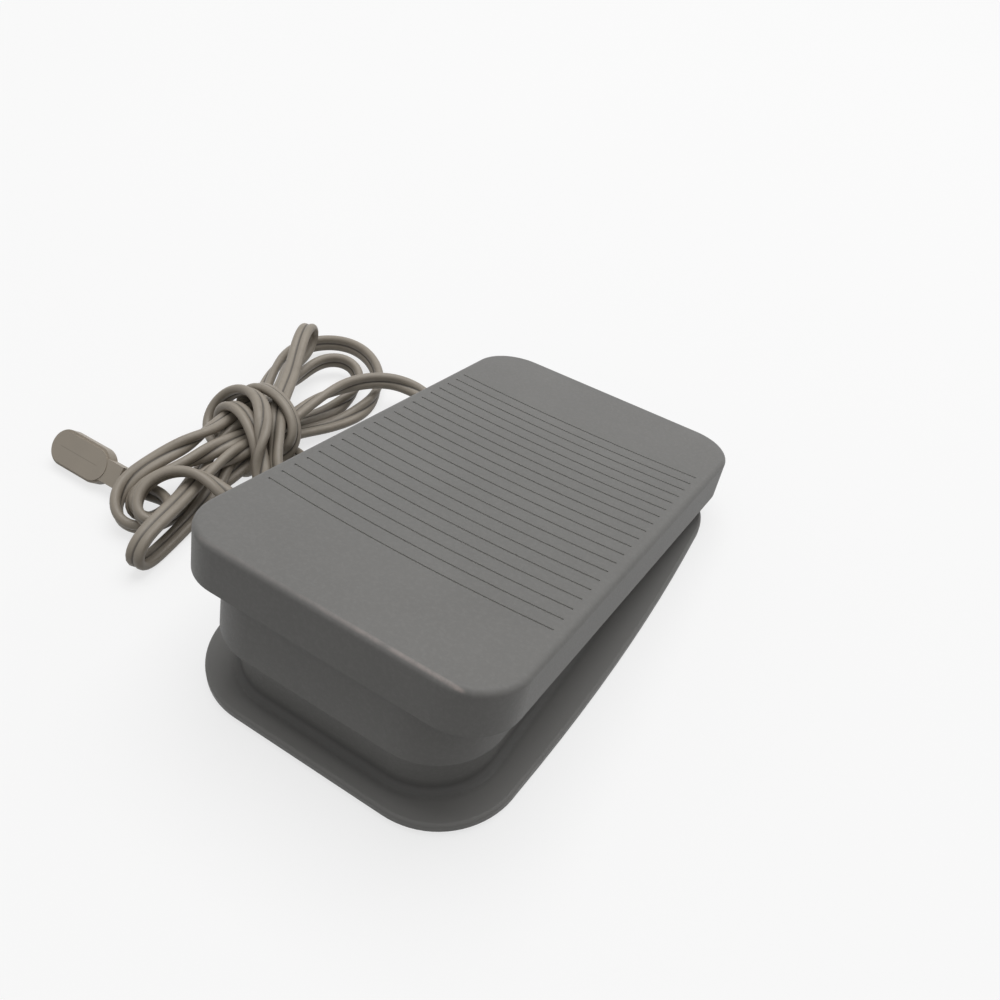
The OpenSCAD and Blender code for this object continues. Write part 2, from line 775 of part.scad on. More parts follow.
module track_card() {
    color([0.45, 0.30, 0.16]) translate([-card_w / 2, card_y, card_low]) cube([card_w, board_t, card_h]);
}

module track_leads() {
    back = card_y + board_t;
    mid = board_z + board_t / 2;
    color([0.70, 0.10, 0.10]) for (s = [-1, 1]) {
        x = s * (card_w / 2 - 2.6);
        swept_wire([[x, back, mid + 1], [x, back + 1.5, mid + 1], [x, back + 4, floor_z + 2],
            [x, back + 7, floor_z + 1.2], [x, board_front - 7, floor_z + 1.2], [x, board_front - 4, mid - 1],
            [x, board_front - 1.5, mid], [x, board_front, mid]], 1.2, 8);
    }
}

module circuit_board() {
    color([0.62, 0.50, 0.28]) translate([0, 0, board_z]) difference() {
        translate([-board_w / 2, board_front, 0]) cube([board_w, board_len, board_t]);
        board_corners() translate([0, 0, -1]) cylinder(r = screw_r + slip, h = board_t + 2);
    }
}

module board_screws() {
    color([0.72, 0.72, 0.74]) board_corners() translate([0, 0, board_top]) pan_screw(board_t + board_off - 0.5);
}

// Triac standing on the board with its tab against the heat sink
module triac() {
    body_t = 3.5 * tab_t;
    body_h = sink_hole_z - screw_head_r - slip - board_top - leg_h;
    color([0.10, 0.10, 0.11]) translate([sink_at[0], sink_at[1], board_top]) {
        difference() {
            translate([-tab_w / 2, -tab_t, leg_h]) cube([tab_w, tab_t, tab_top - board_top - leg_h]);
            translate([0, -tab_t - 1, sink_hole_z - board_top]) rotate([-90, 0, 0])
                cylinder(r = screw_r + slip, h = tab_t + 2);
        }
        translate([-tab_w / 2, -body_t, leg_h]) cube([tab_w, body_t, body_h]);
        for (x = [-1, 0, 1])
            translate([x * tab_w / 4 - 0.4, -0.7 * body_t, 0]) cube([0.8, 0.5, leg_h + 0.5]);
    }
}

module heat_sink() {
    fin_t = 0.7 * sink_plate;
    color([0.80, 0.80, 0.82]) translate([sink_at[0], sink_at[1], board_top]) difference() {
        linear_extrude(sink_h) {
            translate([-sink_w / 2, 0]) square([sink_w, sink_plate]);
            for (i = [0 : 4])
                translate([-sink_w / 2 + i * (sink_w - fin_t) / 4, 0]) square([fin_t, sink_d]);
        }
        translate([0, -1, sink_hole_z - board_top]) rotate([-90, 0, 0])
            cylinder(r = screw_r + seat_clear, h = sink_plate + 1 + fin_t);
    }
}

module heat_sink_screw() {
    color([0.72, 0.72, 0.74]) translate([sink_at[0], sink_at[1] - tab_t, sink_hole_z]) rotate([90, 0, 0])
        pan_screw(tab_t + sink_plate);
}

module film_capacitor() {
    color([0.78, 0.62, 0.18]) translate([film_at[0], film_at[1], board_top]) {
        translate([-film_len / 2, -film_w / 2, 0.6]) cube([film_len, film_w, film_h]);
        for (s = [-1, 1])
            translate([s * (film_len / 2 - 1.5), 0, 0]) cylinder(r = 0.4, h = 1);
    }
}

module choke_core() {
    color([0.20, 0.22, 0.20]) translate([choke_at[0], choke_at[1], board_top + choke_wire + snug / 2])
        rotate_extrude() translate([choke_bore, 0]) square([choke_r - choke_bore, choke_h]);
}

module choke_winding() {
    core_w = choke_r - choke_bore;
    color([0.72, 0.40, 0.18])
        translate([choke_at[0], choke_at[1], board_top + choke_wire + snug / 2 + choke_h / 2])
            for (i = [0 : choke_turns - 1])
                rotate([0, 0, 360 * i / choke_turns]) translate([choke_bore + core_w / 2, choke_wire / 2, 0])
                    rotate([90, 0, 0]) linear_extrude(choke_wire) difference() {
                        square([core_w + snug, choke_h + snug] + 2 * [choke_wire, choke_wire], center = true);
                        square([core_w + snug, choke_h + snug], center = true);
                    }
}

module axial_part(at, body_r, body_len, span) {
    z = body_r + 0.3;
    translate([at[0], at[1], board_top]) {
        translate([-body_len / 2, 0, z]) rotate([0, 90, 0]) cylinder(r = body_r, h = body_len);
        translate([0, 0, z]) cube([span, 0.6, 0.6], center = true);
        for (s = [-1, 1])
            translate([s * span / 2 - 0.3, -0.3, 0]) cube([0.6, 0.6, z + 0.3]);
    }
}

module resistors() {
    color([0.76, 0.66, 0.50]) for (i = [0 : 2])
        axial_part(resistor_at + [0, i * resistor_pitch], resistor_r, resistor_len, 1.7 * resistor_len);
}

module diac() {
    color([0.20, 0.30, 0.55])
        axial_part(diac_at, 0.7 * resistor_r, 0.6 * resistor_len, 1.3 * resistor_len);
}

module fuse() {
    color([0.80, 0.85, 0.86]) translate([fuse_at[0] - fuse_len / 2, fuse_at[1], fuse_z]) rotate([0, 90, 0])
        cylinder(r = fuse_r, h = fuse_len);
}

module fuse_clips() {
    clip_w = fuse_len / 5;
    clip_half = fuse_r + clip_wall;
    color([0.75, 0.73, 0.62]) for (s = [-1, 1])
        translate([fuse_at[0] + s * (fuse_len - clip_w) / 2 - clip_w / 2, fuse_at[1], 0]) difference() {
            translate([0, -clip_half, board_top]) cube([clip_w, 2 * clip_half, fuse_z - board_top + clip_rise]);
            translate([-1, 0, fuse_z]) rotate([0, 90, 0]) cylinder(r = fuse_r + seat_clear, h = clip_w + 2);
            translate([-1, -fuse_r * 0.7, fuse_z]) cube([clip_w + 2, fuse_r * 1.4, fuse_r + 2 * clip_rise]);
        }
}

module terminal_block() {
    color([0.16, 0.38, 0.24]) translate([block_at[0], block_at[1], board_top]) difference() {
        translate([-block_w / 2, -block_d / 2, 0]) cube([block_w, block_d, block_h]);
        for (s = [-1, 1])
            translate([s * block_w / 4, 0, block_h - well_d]) cylinder(r = 0.17 * block_w, h = well_d + 1);
    }
}

module lead_wires() {
    wire_end = block_at[1] + block_d / 2;
    inner = grip_x + anchor_t;
    color([0.15, 0.15, 0.15]) for (s = [-1, 1]) {
        x = block_at[0] + s * block_w / 4;
        y = cord_y + s * wire_split;
        swept_wire([[inner, y, cord_z], [inner + wire_run, y, cord_z],
            [(inner + x) / 2, y, cord_z + wire_lift / 2], [x - wire_run, y - wire_lift / 2, wire_z - wire_lift],
            [x - wire_lift / 2, (y + wire_end) / 2, wire_z], [x, wire_end + wire_lift, wire_z],
            [x, wire_end, wire_z]], wire_d, 8);
    }
}

// Cord and plug

module strain_relief() {
    flex_w = 1;
    color([0.58, 0.55, 0.50]) translate([relief_x, cord_y, cord_z]) {
        difference() {
            rotate([0, -90, 0]) rotate_extrude() {
                translate([0, relief_x - grip_x]) square([relief_r, grip_x - relief_x + 2]);
                polygon([[0, 2], [relief_r, 2], [relief_tip_r, relief_len], [0, relief_len]]);
            }
            for (i = [0 : 3])
                translate([-6 - 3.4 * i - flex_w, 0, 0]) rotate([0, 90, 0]) difference() {
                    cylinder(r = relief_r + 1, h = flex_w);
                    translate([0, 0, -1]) cylinder(r = relief_tip_r - 0.6, h = flex_w + 2);
                }
        }
        translate([grip_x - relief_x, -grip_half, -relief_r]) cube([anchor_t, 2 * grip_half, 2 * relief_r]);
    }
}

module cord_lead() {
    color([0.62, 0.58, 0.53]) swept_wire(cord_route, cord_w, 10);
}

module cord_hank() {
    color([0.62, 0.58, 0.53]) linear_extrude(hank_h) hull() {
        translate(hank_far) circle(hank_far_r, $fn = 32);
        translate(hank_near) circle(hank_near_r, $fn = 32);
    }
}

module at_plug() {
    translate([plug_at[0], plug_at[1], plug_z])
        rotate([90 - plug_tilt, 0, 0]) children();
}

module contact_places() {
    both_sides(contact_pitch / 2) translate([0, 0, -plug_t - nose_t]) children();
}

module plug_housing() {
    color([0.66, 0.62, 0.57]) at_plug() difference() {
        union() {
            translate([0, 0, -plug_t]) linear_extrude(plug_t - plug_edge) stadium(plug_len, plug_w);
            translate([0, 0, -2 * plug_edge]) linear_extrude(2 * plug_edge)
                stadium(plug_len - 2 * plug_edge, plug_w - 2 * plug_edge);
            translate([0, 0, -plug_t - nose_t]) linear_extrude(nose_t + 1) stadium(nose_len, nose_w);
            translate([plug_len / 2 - 2, -neck_w / 2, -plug_t / 2 - neck_t / 2])
                cube([neck_len + 2, neck_w, neck_t]);
        }
        for (s = [-1, 1])
            translate([neck_slot_x, s * neck_w / 2, -plug_t / 2])
                cube([neck_slot, 0.7 * neck_w, plug_t], center = true);
        contact_places() translate([0, 0, -1])
            cylinder(d = contact_bore + 2 * (sleeve_wall + seat_clear), h = contact_deep + 1);
    }
}

module plug_contacts() {
    color([0.80, 0.66, 0.30]) at_plug() contact_places() difference() {
        translate([0, 0, sleeve_end]) cylinder(d = contact_bore + 2 * sleeve_wall, h = contact_deep - sleeve_end);
        cylinder(d = contact_bore, h = contact_deep - sleeve_end);
    }
}

base_tray();
rubber_feet();
tread_cap();
pedal_frame();
cap_screws();
hinge_pin();
hinge_clips();
return_springs();
stop_pads();
plunger();
plunger_spring();
wiper();
track_card();
track_leads();
circuit_board();
board_screws();
triac();
heat_sink();
heat_sink_screw();
film_capacitor();
choke_core();
choke_winding();
resistors();
diac();
fuse();
fuse_clips();
terminal_block();
lead_wires();
strain_relief();
cord_lead();
cord_hank();
plug_housing();
plug_contacts();
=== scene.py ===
import json
import math

import bmesh
import bpy
import numpy as np
from mathutils import Matrix, Vector


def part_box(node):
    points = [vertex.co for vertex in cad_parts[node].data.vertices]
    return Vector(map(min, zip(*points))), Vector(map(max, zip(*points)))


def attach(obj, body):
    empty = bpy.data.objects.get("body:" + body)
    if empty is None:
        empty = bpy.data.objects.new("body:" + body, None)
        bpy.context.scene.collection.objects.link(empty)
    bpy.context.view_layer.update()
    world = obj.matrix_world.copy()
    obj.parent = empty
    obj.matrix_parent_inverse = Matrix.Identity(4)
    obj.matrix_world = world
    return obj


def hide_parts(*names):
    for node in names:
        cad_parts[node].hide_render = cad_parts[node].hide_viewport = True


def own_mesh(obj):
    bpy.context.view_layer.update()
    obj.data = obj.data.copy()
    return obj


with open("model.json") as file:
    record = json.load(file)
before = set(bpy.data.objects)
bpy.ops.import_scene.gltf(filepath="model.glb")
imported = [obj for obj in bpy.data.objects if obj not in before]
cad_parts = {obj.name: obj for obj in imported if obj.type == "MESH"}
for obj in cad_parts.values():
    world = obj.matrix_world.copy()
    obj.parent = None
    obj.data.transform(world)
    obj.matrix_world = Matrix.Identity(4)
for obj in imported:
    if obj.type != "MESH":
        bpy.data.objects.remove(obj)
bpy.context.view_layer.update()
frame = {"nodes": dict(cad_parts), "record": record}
nodes = frame["nodes"]
print("pedal: frame loaded,", len(nodes), "parts")

# camera: place and aim in metres, roll about the line of sight in degrees
cameraView = {
    "place": (0.0886, -0.1643, 0.2010),
    "aim": (0.0003, 0.0046, 0.0265),
    "roll": 6.76,
    "lens": 33.84,
    "sensor": 36.0,
    "clip": (0.01, 20.0),
}


def makeCamera(view):
    data = bpy.data.cameras.new("pedalCamera")
    data.sensor_width = view["sensor"]
    data.sensor_fit = "HORIZONTAL"
    data.lens = view["lens"]
    data.clip_start, data.clip_end = view["clip"]
    obj = bpy.data.objects.new("pedalCamera", data)
    place = Vector(view["place"])
    turn = (Vector(view["aim"]) - place).to_track_quat("-Z", "Y").to_matrix()
    turn = turn @ Matrix.Rotation(math.radians(view["roll"]), 3, "Z")
    obj.matrix_world = Matrix.Translation(place) @ turn.to_4x4()
    bpy.context.scene.collection.objects.link(obj)
    bpy.context.scene.camera = obj


makeCamera(cameraView)
print("pedal: camera set")


# flat twin cord: its way in millimetres, from the strain relief through the tied bundle to the plug
millimetre = 0.001
cordWay = {
    "width": 5.6,
    "thick": 2.9,
    "step": 2.6,
    "lead": [(-57, 52, 7.5), (-60, 52, 7.5), (-64, 52, 8.2), (-68, 50.5, 9.5), (-72, 47.5, 10.8), (-75.5, 43, 11.6),
             (-78.5, 37, 12), (-80.5, 30, 12.3), (-82, 22, 12.5), (-82, 14, 12.3), (-82, 6, 11.5)],
    "nearLong": [(-83, -3, 11), (-85, -12, 11.3), (-85.5, -21, 11), (-83, -31, 10.4), (-80.7, -40, 9.4),
                 (-79, -47.5, 8.4), (-77.6, -56, 6.8), (-76.6, -61, 4.6), (-77, -58, 2.2), (-78.5, -49, 1.8),
                 (-80.7, -39, 1.9), (-82.7, -29, 3.6), (-85, -17, 6), (-88.5, -5, 7.4), (-92.5, 6, 6.8)],
    "farRound": [(-97, 14, 6.5), (-102.5, 21, 6.5), (-107.5, 29, 6.3), (-111, 38, 6), (-112, 47, 6), (-110, 56, 6),
                 (-104, 62, 6), (-96, 63, 6), (-88, 60, 5.5), (-80, 54, 5), (-75, 48, 4), (-73, 40, 3),
                 (-74, 31, 3), (-77, 22, 3.5), (-81, 13, 5)],
    "nearOuter": [(-84, 3, 5.4), (-85.5, -7, 4.9), (-86, -17, 2.6), (-85, -28, 1.8), (-85.5, -38, 1.6), (-88, -46, 1.8),
                  (-92, -50.5, 3), (-96, -49, 5), (-98, -43.5, 7.5), (-98.2, -36.5, 10), (-97.5, -29, 12),
                  (-96, -20, 13.3), (-95, -11, 13.5), (-95, -2, 12.5), (-96, 6, 11.5)],
    "farInner": [(-97, 13, 10.5), (-97.5, 22, 9.5), (-99, 31, 8), (-101, 40, 7), (-100, 48, 7), (-96, 53, 7),
                 (-90, 53, 6), (-85, 49, 5), (-82, 43, 4), (-81, 35, 3), (-82, 26, 3.5), (-86, 16, 5)],
    "nearUnder": [(-88, 5, 7), (-90, -6, 10), (-91, -16, 11.5), (-92.3, -26, 10.7), (-93.5, -34.5, 10),
                  (-93.3, -42, 7.5), (-91, -47, 3.6), (-89, -41, 1.7), (-89, -31, 3), (-89, -20, 6), (-89.5, -8, 8.5)],
    "farTall": [(-91, 4, 10.5), (-94, 14, 10), (-98.5, 26, 9), (-104, 37, 8), (-108, 46, 7), (-110.8, 54, 8),
                (-111.5, 56.5, 11), (-109.3, 51, 13.6), (-104.5, 42, 14), (-98.5, 32, 14), (-92.5, 21, 14.2),
                (-87.3, 12, 14.3), (-84, 5, 13.6)],
    "sideTurn": [(-80, -1, 12), (-75.5, -9, 9.5), (-70, -13, 6.5), (-65, -9.5, 4.5), (-65, -2, 3.5), (-70, 4, 3),
                 (-77, 6, 2)],
    "wrapOne": [(-86, 7, 1.7), (-95, 8, 1.7), (-101, 9, 3.5), (-104.5, 10, 7.5), (-103, 12, 12), (-97, 13, 15),
                (-89, 12, 16.5), (-82, 9.5, 15.5), (-76.5, 6, 12), (-74, 2, 7), (-76.5, -0.5, 3), (-84, -1.5, 1.7),
                (-93, -1, 1.7), (-99.5, -1, 3.2)],
    "wrapTwo": [(-103, -2, 7), (-102, 0, 11), (-97, 1.5, 14), (-89, 0.5, 15), (-81, -4, 13.5), (-76, -7, 9),
                (-76, -8.5, 4.5), (-83, -8, 1.7), (-92, -7, 1.7), (-100, -5, 2.4)],
    "wrapThree": [(-105.5, -1.5, 4.2), (-107, 3.5, 7.5), (-105.5, 7.5, 12), (-100.5, 9, 15.5), (-92, 7.5, 18.5),
                  (-83, 2, 18), (-77, -6, 14.5), (-74.5, -12, 9)],
    "tail": [(-71.5, -16, 6), (-67, -19, 5), (-66, -23.5, 6), (-70, -26, 9.5), (-77, -25, 13), (-84, -27, 14.8),
             (-90, -32, 14), (-92.5, -38, 11), (-91.3, -44, 8), (-86.5, -46.5, 6.5), (-81.8, -43, 6),
             (-82, -37.5, 5.5), (-87, -35, 5.2), (-92.5, -36, 5.2), (-98, -36.8, 5.5), (-102, -36.8, 5.5),
             (-106, -36.8, 5.5)],
}
cordLegs = ("lead", "nearLong", "farRound", "nearOuter", "farInner", "nearUnder", "farTall", "sideTurn",
            "wrapOne", "wrapTwo", "wrapThree", "tail")

# how the drawn way settles; pairs are for the first rounds and for the last ones
cordSettle = {
    "rounds": 900,
    "lastFrom": 0.75,  # share of the rounds
    "search": 10,  # rounds between two searches for strands that lie close
    "closeBy": 3,  # millimetres past the width
    "apartFrom": 4,  # points more than this many steps apart are on two strands
    "fall": (0.01, 0.002),
    "pull": (0.015, 0.001),  # back to the drawn way
    "stiff": 0.4,
    "overlap": 0.25,  # share of an overlap that one push takes away
    "crowd": 0.35,  # how much each further touch weakens the pushes at a point
    "push": (1.4, 2.2),
    "stretch": 0.25,  # share of a wrong length that one round takes away
    "held": 4,  # points at each end that stay where they are drawn
    "lift": 0.05,  # millimetres over the table
}

# how its wide side turns
cordTurn = {
    "start": (0.0, 0.6, 0.8),
    "startRounds": 80,
    "roundsBetween": 8,
    "endRounds": 30,
    "endSmooth": 12,
    "across": 7.0,  # stands across a bend
    "level": 0.9,  # lies flat
    "alike": 1.5,  # follows the points beside it
    "plug": (0.0, 0.7071, 0.7071),  # where it meets the plug
    "plugPoints": 4,
}


def evenSteps(points, step):
    along = np.r_[0, np.cumsum(np.linalg.norm(np.diff(points, axis=0), axis=1))]
    count = max(2, int(round(along[-1] / step)))
    marks = np.linspace(0, along[-1], count + 1)
    return np.stack([np.interp(marks, along, points[:, k]) for k in range(3)], 1)


def roundedWay(points, step):
    # centripetal curve through the points
    p = np.array(points, float)
    q = np.vstack([2 * p[0] - p[1], p, 2 * p[-1] - p[-2]])
    out = []
    for i in range(1, len(q) - 2):
        a, b, c, d = q[i - 1:i + 3]
        t1 = np.linalg.norm(b - a) ** 0.5
        t2 = t1 + np.linalg.norm(c - b) ** 0.5
        t3 = t2 + np.linalg.norm(d - c) ** 0.5
        t = np.linspace(t1, t2, 12, endpoint=False)[:, None]
        ab = (t1 - t) / t1 * a + t / t1 * b
        bc = (t2 - t) / (t2 - t1) * b + (t - t1) / (t2 - t1) * c
        cd = (t3 - t) / (t3 - t2) * c + (t - t2) / (t3 - t2) * d
        abc = (t2 - t) / t2 * ab + t / t2 * bc
        bcd = (t3 - t) / (t3 - t1) * bc + (t - t1) / (t3 - t1) * cd
        out.append((t2 - t) / (t2 - t1) * abc + (t - t1) / (t2 - t1) * bcd)
    return evenSteps(np.vstack(out + [p[-1:]]), step)


def unitRows(v):
    return v / np.maximum(np.linalg.norm(v, axis=-1, keepdims=True), 1e-9)


def wayForward(p):
    t = np.empty_like(p)
    t[1:-1] = p[2:] - p[:-2]
    t[0] = p[1] - p[0]
    t[-1] = p[-1] - p[-2]
    return unitRows(t)


def smoothed(p, rounds):
    for turn in range(rounds):
        q = p.copy()
        q[1:-1] = (p[:-2] + 2 * p[1:-1] + p[2:]) / 4
        p = q
    return p


def sameSide(wide):
    turned = np.cumprod(np.r_[1.0, np.where(np.sum(wide[1:] * wide[:-1], 1) < 0, -1.0, 1.0)])
    return wide * turned[:, None]


def wideSide(p, wide, rounds, turning):
    # a flat cord bends over its thin side: its wide side stands across a bend and lies flat elsewhere
    t = wayForward(p)
    bend = np.zeros_like(p)
    bend[1:-1] = p[2:] - 2 * p[1:-1] + p[:-2]
    across = turning["across"] * np.cross(t, smoothed(bend, 2))
    level = turning["level"] * np.cross(t, [0.0, 0.0, 1.0])
    plug, last = np.array(turning["plug"]), turning["plugPoints"]
    for turn in range(rounds):
        new = wide.copy()
        new[1:-1] += turning["alike"] * (wide[:-2] + wide[2:])
        for pull in (across, level):
            new += pull * np.where(np.sum(pull * wide, 1, keepdims=True) < 0, -1.0, 1.0)
        new -= t * np.sum(new * t, 1, keepdims=True)
        wide = sameSide(unitRows(new))
        wide[-last:] = plug * (1.0 if wide[-last - 1] @ plug > 0 else -1.0)
    return wide


def ovalReach(toward, wide, thin, halfWide, halfThick):
    # from the cord's middle to its edge
    return np.sqrt((halfWide * np.sum(toward * wide, 1)) ** 2 + (halfThick * np.sum(toward * thin, 1)) ** 2)


def layCord(way, settle, turning):
    drawn = roundedWay([point for leg in cordLegs for point in way[leg]], way["step"])
    p = drawn.copy()
    count = len(p)
    order = np.arange(count)
    gap = np.linalg.norm(np.diff(p, axis=0), axis=1).mean()
    halves = (way["width"] / 2, way["thick"] / 2)
    held = np.r_[0:settle["held"], count - settle["held"]:count]
    wide = wideSide(p, np.tile(turning["start"], (count, 1)), turning["startRounds"], turning)
    for turn in range(settle["rounds"]):
        late = turn > settle["lastFrom"] * settle["rounds"]
        if turn % settle["search"] == 0:
            wide = wideSide(p, wide, turning["roundsBetween"], turning)
            thin = np.cross(wayForward(p), wide)
            apart = np.sum((p[:, None] - p[None]) ** 2, 2)
            others = np.abs(order[:, None] - order[None]) > settle["apartFrom"]
            close = (apart < (way["width"] + settle["closeBy"]) ** 2) & others
            one, two = np.nonzero(np.triu(close))
        p[:, 2] -= settle["fall"][late]
        p += settle["pull"][late] * (drawn - p)
        for again in range(2):
            sag = np.zeros_like(p)
            sag[1:-1] = (p[:-2] + p[2:]) / 2 - p[1:-1]
            stiff = np.zeros_like(p)
            stiff[1:-1] = sag[1:-1] - (sag[:-2] + sag[2:]) / 2
            p += settle["stiff"] * stiff
        # strands that overlap push each other apart
        d = p[one] - p[two]
        far = np.linalg.norm(d, axis=1)
        n = d / np.maximum(far, 1e-6)[:, None]
        over = sum(ovalReach(n, wide[k], thin[k], *halves) for k in (one, two)) - far
        hit = over > 0
        push = settle["overlap"] * over[hit, None] * n[hit]
        share = np.ones(count)
        moved = np.zeros_like(p)
        for k, side in ((one, 1), (two, -1)):
            np.add.at(share, k[hit], settle["crowd"])
            np.add.at(moved, k[hit], side * push)
        p += settle["push"][late] * smoothed(moved / share[:, None], 3)
        for again in range(3):
            e = np.diff(p, axis=0)
            length = np.linalg.norm(e, axis=1, keepdims=True)
            fix = settle["stretch"] * (length - gap) / length * e
            p[:-1] += fix
            p[1:] -= fix
        p[:, 2] = np.maximum(p[:, 2], ovalReach(np.array([[0.0, 0.0, 1.0]]), wide, thin, *halves))
        p[held] = drawn[held]
    p[2:-2] = smoothed(p, 4)[2:-2]
    wide = wideSide(p, wide, turning["endRounds"], turning)
    t = wayForward(p)
    for again in range(turning["endSmooth"]):
        wide = smoothed(wide, 1)
        wide = unitRows(wide - t * np.sum(wide * t, 1, keepdims=True))
    return finerCord(p, wide, way["step"] / 2, halves, settle["lift"])


def finerCord(p, wide, step, halves, lift):
    # closer points, none of them with the cord in the table
    fine = roundedWay(p, step)
    order = np.arange(len(p))
    along = np.linspace(0, len(p) - 1, len(fine))
    fineWide = unitRows(np.stack([np.interp(along, order, wide[:, k]) for k in range(3)], 1))
    halfWide, halfThick = halves
    for again in range(2):
        t = wayForward(fine)
        fineWide = unitRows(fineWide - t * np.sum(fineWide * t, 1, keepdims=True))
        thin = np.cross(t, fineWide)
        tilt = np.sqrt(fineWide[:, 2] ** 2 + thin[:, 2] ** 2)
        rest = (halfWide - halfThick) * np.abs(fineWide[:, 2]) + halfThick * tilt + lift
        fine[:, 2] += smoothed(np.maximum(rest - fine[:, 2], 0)[:, None], 3)[:, 0]
        fine[:, 2] = np.maximum(fine[:, 2], rest)
    return fine * millimetre, fineWide


def twinOutline(width, thick):
    # two round cores joined by a web, with a shallow groove along the middle of each flat face
    core = thick / 2
    off = width / 2 - core
    web = ((0.06, 0.7), (0.3, 0.86), (0.62, 0.96))  # shares of the way out and of the core's height
    half = [(off * x, -core * y) for x, y in web]
    for k in range(11):
        a = math.radians(-85 + 170 * k / 10)
        half.append((off + core * math.cos(a), core * math.sin(a)))
    half += [(off * x, core * y) for x, y in reversed(web)]
    return half + [(-x, -y) for x, y in half]


def tubeMesh(name, path, wide, outline):
    t = wayForward(path)
    thin = np.cross(t, wide)
    m = len(outline)
    verts = []
    for i in range(len(path)):
        for a, b in outline:
            verts.append(path[i] + a * wide[i] + b * thin[i])
    faces = []
    for i in range(len(path) - 1):
        for k in range(m):
            j = (k + 1) % m
            faces.append((i * m + k, i * m + j, (i + 1) * m + j, (i + 1) * m + k))
    faces.append(tuple(range(m - 1, -1, -1)))
    faces.append(tuple((len(path) - 1) * m + k for k in range(m)))
    mesh = bpy.data.meshes.new(name)
    mesh.from_pydata([tuple(v) for v in verts], [], faces)
    bm = bmesh.new()
    bm.from_mesh(mesh)
    bmesh.ops.recalc_face_normals(bm, faces=bm.faces)
    bm.to_mesh(mesh)
    bm.free()
    mesh.polygons.foreach_set("use_smooth", [True] * len(mesh.polygons))
    # length along the cord and place round it, for the finish
    layer = mesh.uv_layers.new(name="alongCord")
    run = np.r_[0, np.cumsum(np.linalg.norm(np.diff(path, axis=0), axis=1))]
    for loop in mesh.loops:
        i, k = divmod(loop.vertex_index, m)
        layer.data[loop.index].uv = (run[i], outline[k][0])
    return mesh


def addPiece(name, mesh):
    obj = bpy.data.objects.new(name, mesh)
    bpy.context.scene.collection.objects.link(obj)
    return obj


cordPath, cordWide = layCord(cordWay, cordSettle, cordTurn)
cordOutline = twinOutline(cordWay["width"] * millimetre, cordWay["thick"] * millimetre)
flatCord = addPiece("flatCord", tubeMesh("flatCord", cordPath, cordWide, cordOutline))
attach(flatCord, "base")
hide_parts("cord_lead", "cord_hank")


# node trees for what repeats


def startTree(name, settings):
    kinds = {float: "NodeSocketFloat", int: "NodeSocketInt"}
    tree = bpy.data.node_groups.new(name, "GeometryNodeTree")
    tree.interface.new_socket("Geometry", in_out="INPUT", socket_type="NodeSocketGeometry")
    tree.interface.new_socket("Geometry", in_out="OUTPUT", socket_type="NodeSocketGeometry")
    for label, value in settings.items():
        tree.interface.new_socket(label, in_out="INPUT", socket_type=kinds[type(value)])
    tree.interface.new_socket("Finish", in_out="INPUT", socket_type="NodeSocketMaterial")
    return tree, tree.nodes.new("NodeGroupInput").outputs


def addNode(tree, kind, values=None, links=None, **settings):
    node = tree.nodes.new(kind)
    for key, value in settings.items():
        setattr(node, key, value)
    for key, value in (values or {}).items():
        node.inputs[key].default_value = value
    for key, source in (links or {}).items():
        tree.links.new(source, node.inputs[key])
    return node


def endTree(tree, given, shape):
    real = addNode(tree, "GeometryNodeRealizeInstances", links={"Geometry": shape})
    done = addNode(tree, "GeometryNodeSetMaterial",
                   links={"Geometry": real.outputs["Geometry"], "Material": given["Finish"]})
    addNode(tree, "NodeGroupOutput", links={"Geometry": done.outputs["Geometry"]})


def growPiece(name, seed, tree, settings, finish):
    obj = addPiece(name, seed)
    modifier = obj.modifiers.new("grow", "NODES")
    modifier.node_group = tree
    for item in tree.interface.items_tree:
        if item.in_out == "INPUT" and item.name in settings:
            modifier[item.identifier] = settings[item.name]
        if item.in_out == "INPUT" and item.name == "Finish":
            modifier[item.identifier] = finish
    graph = bpy.context.evaluated_depsgraph_get()
    mesh = bpy.data.meshes.new_from_object(obj.evaluated_get(graph), depsgraph=graph)
    obj.modifiers.remove(modifier)
    obj.data = mesh
    mesh.name = name
    return obj


def pointMesh(name, points):
    mesh = bpy.data.meshes.new(name)
    mesh.from_pydata([tuple(p) for p in points], [], [])
    return mesh


# finishes


def startMaterial(name):
    mat = bpy.data.materials.new(name)
    mat.use_nodes = True
    tree = mat.node_tree
    shader = tree.nodes["Principled BSDF"]
    coords = tree.nodes.new("ShaderNodeTexCoord")
    return mat, tree, shader, coords


def noiseNode(tree, vector, scale, detail=2.0, roughness=0.5):
    node = tree.nodes.new("ShaderNodeTexNoise")
    node.inputs["Scale"].default_value = scale
    node.inputs["Detail"].default_value = detail
    node.inputs["Roughness"].default_value = roughness
    tree.links.new(vector, node.inputs["Vector"])
    return node.outputs["Fac"]


def rampNode(tree, factor, stops):
    node = tree.nodes.new("ShaderNodeValToRGB")
    ramp = node.color_ramp
    while len(ramp.elements) < len(stops):
        ramp.elements.new(0.5)
    for element, (place, colour) in zip(ramp.elements, stops):
        element.position = place
        element.color = colour + (1.0,)
    tree.links.new(factor, node.inputs["Fac"])
    return node.outputs["Color"]


def rangeNode(tree, value, low, high, fromLow=0.3, fromHigh=0.7):
    node = tree.nodes.new("ShaderNodeMapRange")
    node.inputs["From Min"].default_value = fromLow
    node.inputs["From Max"].default_value = fromHigh
    node.inputs["To Min"].default_value = low
    node.inputs["To Max"].default_value = high
    tree.links.new(value, node.inputs["Value"])
    return node.outputs["Result"]


def bumpNode(tree, height, strength, distance):
    node = tree.nodes.new("ShaderNodeBump")
    node.inputs["Strength"].default_value = strength
    node.inputs["Distance"].default_value = distance
    tree.links.new(height, node.inputs["Height"])
    return node.outputs["Normal"]


